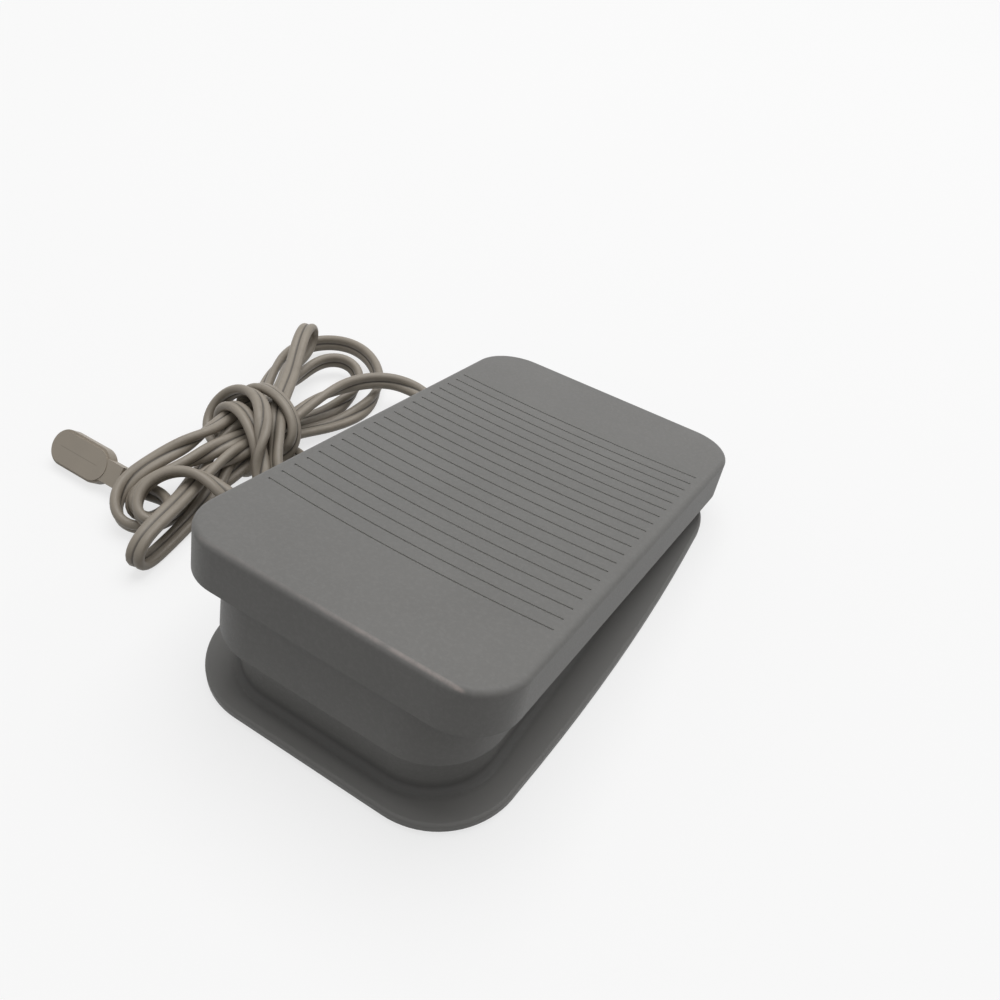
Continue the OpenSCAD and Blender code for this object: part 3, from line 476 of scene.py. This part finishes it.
def shade(colour, gain):
    return tuple(min(1.0, c * gain) for c in colour)


def clouded(tree, noise, colour, shades):
    darker, lighter = shades
    return rampNode(tree, noise, [(0.3, shade(colour, darker)), (0.7, shade(colour, lighter))])


def grained(tree, shader, grain, rough, bump):
    tree.links.new(rangeNode(tree, grain, *rough), shader.inputs["Roughness"])
    tree.links.new(bumpNode(tree, grain, *bump), shader.inputs["Normal"])


# in all finishes, noises are given as scale, detail and roughness, and bumps as strength and depth
plasticLook = {
    "cloud": (38.0, 4.0, 0.6),
    "grainDetail": (3.0, 0.6),
    "bump": 0.35,
    "specular": 0.4,
}


def mouldedPlastic(name, colour, grainScale, grainDepth=0.00003, rough=(0.46, 0.58), mottle=0.05):
    # fine spark-eroded grain with faint clouding
    look = plasticLook
    mat, tree, shader, coords = startMaterial(name)
    place = coords.outputs["Object"]
    cloud = noiseNode(tree, place, *look["cloud"])
    tree.links.new(clouded(tree, cloud, colour, (1 - mottle, 1 + mottle)), shader.inputs["Base Color"])
    grain = noiseNode(tree, place, grainScale, *look["grainDetail"])
    grained(tree, shader, grain, rough, (look["bump"], grainDepth))
    shader.inputs["Specular IOR Level"].default_value = look["specular"]
    return mat


def mathNode(tree, operation, first, second):
    node = tree.nodes.new("ShaderNodeMath")
    node.operation = operation
    for socket, value in zip(node.inputs, (first, second)):
        if isinstance(value, (int, float)):
            socket.default_value = value
        else:
            tree.links.new(value, socket)
    return node.outputs["Value"]


def mixNode(tree, factor, first, second):
    node = tree.nodes.new("ShaderNodeMix")
    node.data_type = "RGBA"
    tree.links.new(factor, node.inputs["Factor"])
    for key, value in (("A", first), ("B", second)):
        if isinstance(value, tuple):
            node.inputs[key].default_value = value + (1.0,)
        else:
            tree.links.new(value, node.inputs[key])
    return node.outputs["Result"]


# the shell's grain, its worn front edge, and painted light and shade in the grooves and around the tray's wall
shellLook = {
    "cloud": (38.0, 4.0, 0.6),
    "cloudShades": (0.96, 1.04),
    "fleck": (900.0, 3.0, 0.7),
    "fleckRange": (0.0, 0.16, 0.45, 0.75),
    "fleckShade": 1.7,
    "grain": (2200.0, 3.0, 0.6),
    "rough": (0.42, 0.56),
    "bump": (0.4, 0.00004),
    "specular": 0.24,
    "edgeDrop": (-0.0007, -0.0003),  # from the end of the flat tread to the worn line on its rounded front edge
    "edgeReach": (0.0002, 0.0007),
    "edgeAlong": (0.2, 1.0, -0.012, 0.026),  # how worn it is, from left to right
    "edgePatches": (260.0, 4.0, 0.65),
    "edgePatchRange": (0.15, 1.0, 0.32, 0.6),
    "rubbed": (0.37, 0.325, 0.305),
    # where the grooves lie, painted paler as painted light against their shade
    "grooveWide": 0.0405,  # half the width that the grooves take
    "grooveFrom": -0.058,
    "grooveTo": 0.058,
    "grooveDepths": (0.0006, 0.00004),
    "wallTurn": 0.6,  # below this a face looks away from the tread's own direction
    "groovePaintedLight": (1.6, 2.3),  # on the floor and on the walls of a groove
    "trayWide": 0.0366,  # half the width of the tray's wall
    "trayCorner": 0.018,
    "trayLedges": (0.007, 0.005),  # from the plate's ends to the wall
    # painted shade at the foot of the tray's wall, and painted light on the plate around it
    "rootReach": (0.0009, 0.0019),
    "rootTop": (0.0058, 0.0085),
    "rootShade": 0.74,
    "ledgeReach": (0.0015, 0.0032),
    "ledgeTop": (0.0045, 0.0055),
    "ledgePaintedLight": 1.2,
}


def treadPlane():
    # the large sloping face of the tread and its front end
    mesh = nodes["tread_cap"].data
    upward, within = 0.9, 0.00001
    face = max((f for f in mesh.polygons if f.normal.z > upward), key=lambda f: f.area)
    level = face.normal.dot(face.center)
    ends = [v.co for v in mesh.vertices if abs(face.normal.dot(v.co) - level) < within]
    front = min(ends, key=lambda co: co.y)
    return tuple(face.normal), level, (front.y, front.z)


def vectorNode(tree, operation, first, second, output="Vector"):
    node = tree.nodes.new("ShaderNodeVectorMath")
    node.operation = operation
    tree.links.new(first, node.inputs[0])
    if second is not None:
        node.inputs[1].default_value = second
    return node.outputs[output]


def fromTrayWall(tree, place, look):
    # how far a point is outside the tray's wall, seen from above
    low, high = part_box("base_tray")
    front, back = low[1] + look["trayLedges"][0], high[1] - look["trayLedges"][1]
    corner = look["trayCorner"]
    flat = vectorNode(tree, "MULTIPLY", place, (1.0, 1.0, 0.0))
    away = vectorNode(tree, "SUBTRACT", flat, (0.0, (front + back) / 2, 0.0))
    away = vectorNode(tree, "ABSOLUTE", away, None)
    past = vectorNode(tree, "SUBTRACT", away, (look["trayWide"] - corner, (back - front) / 2 - corner, 0.0))
    past = vectorNode(tree, "MAXIMUM", past, (0.0, 0.0, 0.0))
    return mathNode(tree, "SUBTRACT", vectorNode(tree, "LENGTH", past, None, "Value"), corner)


def times(tree, first, *others):
    for other in others:
        first = mathNode(tree, "MULTIPLY", first, other)
    return first


def between(tree, value, low, high):
    return times(tree, mathNode(tree, "GREATER_THAN", value, low), mathNode(tree, "LESS_THAN", value, high))


def fading(tree, value, reach):
    # 1 up to the first value and 0 from the second on
    return rangeNode(tree, value, 1.0, 0.0, *reach)


def wornShell(name, colour, look):
    mat, tree, shader, coords = startMaterial(name)
    place = coords.outputs["Object"]
    split = tree.nodes.new("ShaderNodeSeparateXYZ")
    tree.links.new(place, split.inputs["Vector"])
    x, y, z = (split.outputs[key] for key in "XYZ")
    body = clouded(tree, noiseNode(tree, place, *look["cloud"]), colour, look["cloudShades"])
    fleck = rangeNode(tree, noiseNode(tree, place, *look["fleck"]), *look["fleckRange"])
    body = mixNode(tree, fleck, body, shade(colour, look["fleckShade"]))
    # the front edge is rubbed pale
    facing, level, front = treadPlane()
    offY = mathNode(tree, "SUBTRACT", y, front[0] + look["edgeDrop"][0])
    offZ = mathNode(tree, "SUBTRACT", z, front[1] + look["edgeDrop"][1])
    off = mathNode(tree, "ADD", times(tree, offY, offY), times(tree, offZ, offZ))
    near = fading(tree, mathNode(tree, "SQRT", off, 0.0), look["edgeReach"])
    along = rangeNode(tree, x, *look["edgeAlong"])
    patchy = rangeNode(tree, noiseNode(tree, place, *look["edgePatches"]), *look["edgePatchRange"])
    body = mixNode(tree, times(tree, near, along, patchy), body, look["rubbed"])
    # painted shade darkens the foot of the tray's wall, and painted light makes the plate around it paler
    outside = fromTrayWall(tree, place, look)
    root = times(tree, fading(tree, outside, look["rootReach"]), fading(tree, z, look["rootTop"]))
    body = mixNode(tree, root, body, shade(colour, look["rootShade"]))
    ledge = rangeNode(tree, outside, 0.0, 1.0, *look["ledgeReach"])
    ledge = times(tree, ledge, fading(tree, z, look["ledgeTop"]))
    body = mixNode(tree, ledge, body, shade(colour, look["ledgePaintedLight"]))
    # painted light: the grooves are coloured paler against their own shade, their walls more than their floors
    height = vectorNode(tree, "DOT_PRODUCT", place, facing, "Value")
    deep, shallow = look["grooveDepths"]
    paintedGrooveMask = times(tree, between(tree, height, level - deep, level - shallow),
                  between(tree, x, -look["grooveWide"], look["grooveWide"]),
                  between(tree, y, look["grooveFrom"], look["grooveTo"]))
    turned = vectorNode(tree, "DOT_PRODUCT", coords.outputs["Normal"], facing, "Value")
    wall = mathNode(tree, "LESS_THAN", turned, look["wallTurn"])
    paintedGrooveColour = mixNode(tree, wall, *(shade(colour, gain) for gain in look["groovePaintedLight"]))
    tree.links.new(mixNode(tree, paintedGrooveMask, body, paintedGrooveColour), shader.inputs["Base Color"])
    grained(tree, shader, noiseNode(tree, place, *look["grain"]), look["rough"], look["bump"])
    shader.inputs["Specular IOR Level"].default_value = look["specular"]
    return mat


# the plug's vinyl, with a faint mould line along its flat face
plugLook = {
    "cloud": (70.0, 4.0, 0.6),
    "cloudShades": (0.96, 1.04),
    "grain": (1800.0, 3.0, 0.6),
    "rough": (0.42, 0.54),
    "bump": (0.3, 0.00003),
    "lineMiddle": (-0.1226, -0.0382, 0.0069),
    "lineAcross": (0.0, 0.7071, 0.7071),
    "lineWide": (0.0, 0.00022),
    "lineLong": (0.007225, 0.0085),
    "lineShade": 0.72,
}


def plugVinyl(name, colour, look):
    mat, tree, shader, coords = startMaterial(name)
    place = coords.outputs["Object"]
    body = clouded(tree, noiseNode(tree, place, *look["cloud"]), colour, look["cloudShades"])
    off = vectorNode(tree, "SUBTRACT", place, look["lineMiddle"])
    side = vectorNode(tree, "DOT_PRODUCT", off, look["lineAcross"], "Value")
    split = tree.nodes.new("ShaderNodeSeparateXYZ")
    tree.links.new(off, split.inputs["Vector"])
    narrow = fading(tree, mathNode(tree, "ABSOLUTE", side, 0.0), look["lineWide"])
    short = fading(tree, mathNode(tree, "ABSOLUTE", split.outputs["X"], 0.0), look["lineLong"])
    body = mixNode(tree, times(tree, narrow, short), body, shade(colour, look["lineShade"]))
    tree.links.new(body, shader.inputs["Base Color"])
    grained(tree, shader, noiseNode(tree, place, *look["grain"]), look["rough"], look["bump"])
    return mat


# fine turning lines on metal
metalLook = {
    "stretch": (1.0, 1.0, 0.12),
    "lines": (900.0, 3.0, 0.6),
    "shades": (0.86, 1.08),
    "bump": (0.15, 0.00002),
}


def turnedMetal(name, colour, rough=(0.22, 0.4)):
    look = metalLook
    mat, tree, shader, coords = startMaterial(name)
    stretch = tree.nodes.new("ShaderNodeMapping")
    stretch.inputs["Scale"].default_value = look["stretch"]
    tree.links.new(coords.outputs["Object"], stretch.inputs["Vector"])
    lines = noiseNode(tree, stretch.outputs["Vector"], *look["lines"])
    tree.links.new(clouded(tree, lines, colour, look["shades"]), shader.inputs["Base Color"])
    grained(tree, shader, lines, rough, look["bump"])
    shader.inputs["Metallic"].default_value = 1.0
    return mat


# the cord's soft vinyl, soiled in places, with painted shade along the groove between its cores
cordLook = {
    "cloud": (60.0, 4.0, 0.6),
    "cloudShades": (0.93, 1.05),
    "grooveWide": (0.00014, 0.0005),
    "grooveShade": 0.3,
    "soil": (220.0, 4.0, 0.7),
    "soilRange": (0.0, 0.5, 0.52, 0.78),
    "soilShade": 0.7,
    "grain": (1400.0, 2.0, 0.5),
    "rough": (0.4, 0.52),
    "bump": (0.2, 0.00003),
}


def cordVinyl(name, colour, look):
    mat, tree, shader, coords = startMaterial(name)
    place = coords.outputs["Object"]
    uv = tree.nodes.new("ShaderNodeUVMap")
    uv.uv_map = "alongCord"
    split = tree.nodes.new("ShaderNodeSeparateXYZ")
    tree.links.new(uv.outputs["UV"], split.inputs["Vector"])
    body = clouded(tree, noiseNode(tree, place, *look["cloud"]), colour, look["cloudShades"])
    # painted shade along the groove between the cores
    groove = fading(tree, mathNode(tree, "ABSOLUTE", split.outputs["Y"], 0.0), look["grooveWide"])
    body = mixNode(tree, groove, body, shade(colour, look["grooveShade"]))
    soiled = rangeNode(tree, noiseNode(tree, place, *look["soil"]), *look["soilRange"])
    body = mixNode(tree, soiled, body, shade(colour, look["soilShade"]))
    tree.links.new(body, shader.inputs["Base Color"])
    grained(tree, shader, noiseNode(tree, place, *look["grain"]), look["rough"], look["bump"])
    return mat


pedalGrey = (0.188, 0.185, 0.178)
vinylTaupe = (0.345, 0.302, 0.247)
# the plug's copy of the vinyl is painted lighter, as painted light on its face that turns away from the lamps; the
# cord's copy is darker
plugPaintedLightTaupe = shade(vinylTaupe, 1.08)
cordTaupe = shade(vinylTaupe, 0.93)
finishes = {
    "shell": wornShell("pedalGreyPlastic", pedalGrey, shellLook),
    "rubber": mouldedPlastic("footRubber", (0.022, 0.022, 0.022), 1200.0, 0.00005, (0.7, 0.85)),
    "steel": turnedMetal("zincSteel", (0.62, 0.62, 0.63)),
    "brass": turnedMetal("contactBrass", (0.72, 0.52, 0.22)),
    "aluminium": turnedMetal("sinkAluminium", (0.72, 0.72, 0.74), (0.35, 0.5)),
    "white_plastic": mouldedPlastic("plungerWhite", (0.78, 0.76, 0.7), 1500.0),
    "black_plastic": mouldedPlastic("mouldedBlack", (0.02, 0.02, 0.022), 1500.0),
    "green_plastic": mouldedPlastic("terminalGreen", (0.03, 0.12, 0.05), 1500.0),
    "board": mouldedPlastic("boardLaminate", (0.34, 0.22, 0.075), 500.0, 0.00002, (0.4, 0.55), 0.15),
    "red_lead": mouldedPlastic("redLead", (0.4, 0.02, 0.02), 1500.0, 0.00001, (0.3, 0.4)),
    "yellow_film": mouldedPlastic("yellowFilm", (0.55, 0.34, 0.04), 700.0, 0.00002, (0.25, 0.35)),
    "ferrite": mouldedPlastic("sinteredFerrite", (0.035, 0.038, 0.035), 1800.0, 0.00004, (0.55, 0.7)),
    "enamelled_wire": turnedMetal("enamelledCopper", (0.55, 0.22, 0.08), (0.2, 0.3)),
    "ceramic_body": mouldedPlastic("resistorBody", (0.52, 0.4, 0.24), 1000.0, 0.00002, (0.35, 0.5)),
    "blue_body": mouldedPlastic("diacBlue", (0.04, 0.08, 0.25), 1000.0, 0.00002, (0.2, 0.3)),
    "glass": mouldedPlastic("fuseGlass", (0.6, 0.66, 0.68), 400.0, 0.00001, (0.05, 0.12)),
    "cord_plastic": plugVinyl("plugPaintedLightTaupe", plugPaintedLightTaupe, plugLook),
}
slotOf = {part["node"]: part["material_slot"] for part in frame["record"]["subparts"]}
for name, obj in nodes.items():
    obj.data.materials.clear()
    obj.data.materials.append(finishes[slotOf[name]])
flatCord.data.materials.append(cordVinyl("cordVinyl", cordTaupe, cordLook))
print("pedal: finishes set,", len(finishes))

# four rubber feet with round ridges under them
footRings = {
    "Foot radius": 0.0065,
    "Bottom radius": 0.0061,
    "Ridge radius": 0.0005,
    "Inner ridge": 0.0022,
    "Outer ridge": 0.0046,
    "Height": 0.0025,
}


def growFeet(look, finish):
    low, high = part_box("rubber_feet")
    radius = look["Foot radius"]
    across, along = ((low[k] + radius, high[k] - radius) for k in (0, 1))
    spots = [(x, y, 0.0) for x in across for y in along]
    tree, given = startTree("footTree", look)
    lift = addNode(tree, "ShaderNodeCombineXYZ", links={"Z": given["Ridge radius"]}).outputs["Vector"]
    depth = addNode(tree, "ShaderNodeMath", operation="SUBTRACT",
                    links={0: given["Height"], 1: given["Ridge radius"]}).outputs["Value"]
    pad = addNode(tree, "GeometryNodeMeshCone", {"Vertices": 64},
                  {"Radius Top": given["Foot radius"], "Radius Bottom": given["Bottom radius"], "Depth": depth})
    shapes = [pad.outputs["Mesh"]]
    wire = addNode(tree, "GeometryNodeCurvePrimitiveCircle", {"Resolution": 12}, {"Radius": given["Ridge radius"]})
    for ring in ("Inner ridge", "Outer ridge"):
        circle = addNode(tree, "GeometryNodeCurvePrimitiveCircle", {"Resolution": 48}, {"Radius": given[ring]})
        ridge = addNode(tree, "GeometryNodeCurveToMesh",
                        links={"Curve": circle.outputs["Curve"], "Profile Curve": wire.outputs["Curve"]})
        shapes.append(ridge.outputs["Mesh"])
    join = addNode(tree, "GeometryNodeJoinGeometry")
    for shape in shapes:
        tree.links.new(shape, join.inputs["Geometry"])
    up = addNode(tree, "GeometryNodeTransform", links={"Geometry": join.outputs["Geometry"], "Translation": lift})
    four = addNode(tree, "GeometryNodeInstanceOnPoints",
                   links={"Points": given["Geometry"], "Instance": up.outputs["Geometry"]})
    endTree(tree, given, four.outputs["Instances"])
    feet = growPiece("ridgedFeet", pointMesh("ridgedFeet", spots), tree, look, finish)
    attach(feet, "base")
    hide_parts("rubber_feet")


# round wire turns on the choke's ring
chokeTurns = {
    "Turns": 14,
    "Ring radius": 0.0065,
    "Loop width": 0.00495,
    "Loop height": 0.00695,
    "Loop corner": 0.0008,
    "Wire radius": 0.00043,
}


def growWinding(look, finish):
    low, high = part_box("choke_winding")
    middle = [(a + b) / 2 for a, b in zip(low, high)]
    tree, given = startTree("windingTree", look)
    ring = addNode(tree, "GeometryNodeCurvePrimitiveCircle",
                   links={"Resolution": given["Turns"], "Radius": given["Ring radius"]})
    loop = addNode(tree, "GeometryNodeCurvePrimitiveQuadrilateral",
                   links={"Width": given["Loop width"], "Height": given["Loop height"]})
    soft = addNode(tree, "GeometryNodeFilletCurve", {"Count": 4},
                   {"Curve": loop.outputs["Curve"], "Radius": given["Loop corner"]}, mode="POLY")
    wire = addNode(tree, "GeometryNodeCurvePrimitiveCircle", {"Resolution": 10}, {"Radius": given["Wire radius"]})
    turn = addNode(tree, "GeometryNodeCurveToMesh",
                   links={"Curve": soft.outputs["Curve"], "Profile Curve": wire.outputs["Curve"]})
    upright = addNode(tree, "GeometryNodeTransform", {"Rotation": (math.pi / 2, 0.0, 0.0)},
                      {"Geometry": turn.outputs["Mesh"]})
    step = addNode(tree, "ShaderNodeMath", {0: 2 * math.pi}, {1: given["Turns"]}, operation="DIVIDE").outputs["Value"]
    count = addNode(tree, "GeometryNodeInputIndex").outputs["Index"]
    angle = addNode(tree, "ShaderNodeMath", links={0: count, 1: step}, operation="MULTIPLY").outputs["Value"]
    spin = addNode(tree, "ShaderNodeCombineXYZ", links={"Z": angle}).outputs["Vector"]
    turns = addNode(tree, "GeometryNodeInstanceOnPoints",
                    links={"Points": ring.outputs["Curve"], "Instance": upright.outputs["Geometry"], "Rotation": spin})
    placed = addNode(tree, "GeometryNodeTransform", {"Translation": middle},
                     {"Geometry": turns.outputs["Instances"]})
    endTree(tree, given, placed.outputs["Geometry"])
    winding = growPiece("roundWinding", pointMesh("roundWinding", [middle]), tree, look, finish)
    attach(winding, "base")
    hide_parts("choke_winding")


# wire springs, and how much shorter each is at its joint's limit
coils = {
    "return_springs": {
        "piece": "returnCoils",
        "joint": "pedal_hinge",
        "press": 0.0084,
        "lean": 0.075,  # the frame's posts also move forward a little
        "sizes": {"Turns": 7.0, "Coil radius": 0.0058, "Wire radius": 0.0007},
    },
    "plunger_spring": {
        "piece": "plungerCoil",
        "joint": "plunger_slide",
        "press": 0.009,
        "lean": 0.0,
        "sizes": {"Turns": 4.0, "Coil radius": 0.0043, "Wire radius": 0.0003},
    },
}


def growCoil(node, look, finish):
    low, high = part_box(node)
    wire = look["sizes"]["Wire radius"]
    reach = look["sizes"]["Coil radius"] + wire
    tall = high[2] - low[2]
    sizes = dict(look["sizes"], Height=tall - 2 * wire)
    sides = sorted({round(x, 5) for x in (low[0] + reach, high[0] - reach)})  # one or two springs
    spots = [(x, (low[1] + high[1]) / 2, low[2] + wire) for x in sides]
    tree, given = startTree(look["piece"] + "Tree", sizes)
    path = addNode(tree, "GeometryNodeCurveSpiral", {"Resolution": 24},
                   {"Rotations": given["Turns"], "Start Radius": given["Coil radius"],
                    "End Radius": given["Coil radius"], "Height": given["Height"]})
    section = addNode(tree, "GeometryNodeCurvePrimitiveCircle", {"Resolution": 10}, {"Radius": given["Wire radius"]})
    turns = addNode(tree, "GeometryNodeCurveToMesh", {"Fill Caps": True},
                    {"Curve": path.outputs["Curve"], "Profile Curve": section.outputs["Curve"]})
    placed = addNode(tree, "GeometryNodeInstanceOnPoints",
                     links={"Points": given["Geometry"], "Instance": turns.outputs["Mesh"]})
    endTree(tree, given, placed.outputs["Instances"])
    coil = growPiece(look["piece"], pointMesh(look["piece"], spots), tree, sizes, finish)
    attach(coil, "base")
    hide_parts(node)
    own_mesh(coil)


growFeet(footRings, finishes["rubber"])
growWinding(chokeTurns, finishes["enamelled_wire"])
for node, look in coils.items():
    growCoil(node, look, finishes[slotOf[node]])
print("pedal: feet, winding and springs set")


# table and light
studio = {
    "tableReach": 6.0,  # from the middle to its sides
    "tableColour": (0.97, 0.97, 0.97),
    "tableCloud": (3.0, 2.0),
    "tableShades": (0.99, 1.01),
    "tableRough": 0.9,
    "tableSpecular": 0.1,
    "tableGlow": 0.72,  # share of plain white that the camera sees in the table
    "tableReturn": (0.3, 0.298, 0.294),  # what the table throws back on the object
    "worldLight": 0.33,
    "overhead": {"place": (-0.1, 0.6, 1.85), "aim": (-0.02, 0.0, 0.02), "size": 1.6, "power": 23.0},
    "side": {"place": (1.4, 1.2, 1.0), "aim": (0.0, 0.0, 0.02), "size": 1.4, "power": 1.8},
}


def seenDirectly(tree):
    # 1 for what the camera sees, straight or in a gloss or through glass
    path = tree.nodes.new("ShaderNodeLightPath")
    seen = mathNode(tree, "MAXIMUM", path.outputs["Is Camera Ray"], path.outputs["Is Glossy Ray"])
    return mathNode(tree, "MAXIMUM", seen, path.outputs["Is Transmission Ray"])


def makeTable(look):
    mesh = bpy.data.meshes.new("tableTop")
    reach = look["tableReach"]
    mesh.from_pydata([(x * reach, y * reach, 0) for x, y in ((-1, -1), (1, -1), (1, 1), (-1, 1))], [], [(0, 1, 2, 3)])
    table = addPiece("tableTop", mesh)
    mat, tree, shader, coords = startMaterial("tableWhite")
    cloud = noiseNode(tree, coords.outputs["Object"], *look["tableCloud"])
    tree.links.new(clouded(tree, cloud, look["tableColour"], look["tableShades"]), shader.inputs["Base Color"])
    shader.inputs["Roughness"].default_value = look["tableRough"]
    shader.inputs["Specular IOR Level"].default_value = look["tableSpecular"]
    glow = tree.nodes.new("ShaderNodeEmission")
    glow.inputs["Strength"].default_value = 1.0
    pale = tree.nodes.new("ShaderNodeMixShader")
    pale.inputs["Fac"].default_value = look["tableGlow"]
    tree.links.new(shader.outputs["BSDF"], pale.inputs[1])
    tree.links.new(glow.outputs["Emission"], pale.inputs[2])
    returned = tree.nodes.new("ShaderNodeBsdfDiffuse")
    returned.inputs["Color"].default_value = look["tableReturn"] + (1.0,)
    both = tree.nodes.new("ShaderNodeMixShader")
    tree.links.new(seenDirectly(tree), both.inputs["Fac"])
    tree.links.new(returned.outputs["BSDF"], both.inputs[1])
    tree.links.new(pale.outputs["Shader"], both.inputs[2])
    tree.links.new(both.outputs["Shader"], tree.nodes["Material Output"].inputs["Surface"])
    mesh.materials.append(mat)


def makeLamp(name, lamp):
    data = bpy.data.lights.new(name, "AREA")
    data.shape = "SQUARE"
    data.size = lamp["size"]
    data.energy = lamp["power"]
    obj = bpy.data.objects.new(name, data)
    place = Vector(lamp["place"])
    turn = (Vector(lamp["aim"]) - place).to_track_quat("-Z", "Y").to_matrix()
    obj.matrix_world = Matrix.Translation(place) @ turn.to_4x4()
    bpy.context.scene.collection.objects.link(obj)


def makeWorld(light):
    world = bpy.data.worlds.new("studioWorld")
    world.use_nodes = True
    tree = world.node_tree
    back = tree.nodes["Background"]
    back.inputs["Color"].default_value = (1.0, 1.0, 1.0, 1.0)
    back.inputs["Strength"].default_value = light
    white = tree.nodes.new("ShaderNodeBackground")
    white.inputs["Color"].default_value = (1.0, 1.0, 1.0, 1.0)
    white.inputs["Strength"].default_value = 1.0
    mix = tree.nodes.new("ShaderNodeMixShader")
    tree.links.new(seenDirectly(tree), mix.inputs["Fac"])
    tree.links.new(back.outputs["Background"], mix.inputs[1])
    tree.links.new(white.outputs["Background"], mix.inputs[2])
    tree.links.new(mix.outputs["Shader"], tree.nodes["World Output"].inputs["Surface"])
    bpy.context.scene.world = world


makeTable(studio)
makeLamp("overheadLamp", studio["overhead"])
makeLamp("sideLamp", studio["side"])
makeWorld(studio["worldLight"])
bpy.context.scene.view_settings.view_transform = "Standard"
print("pedal: table and light set")
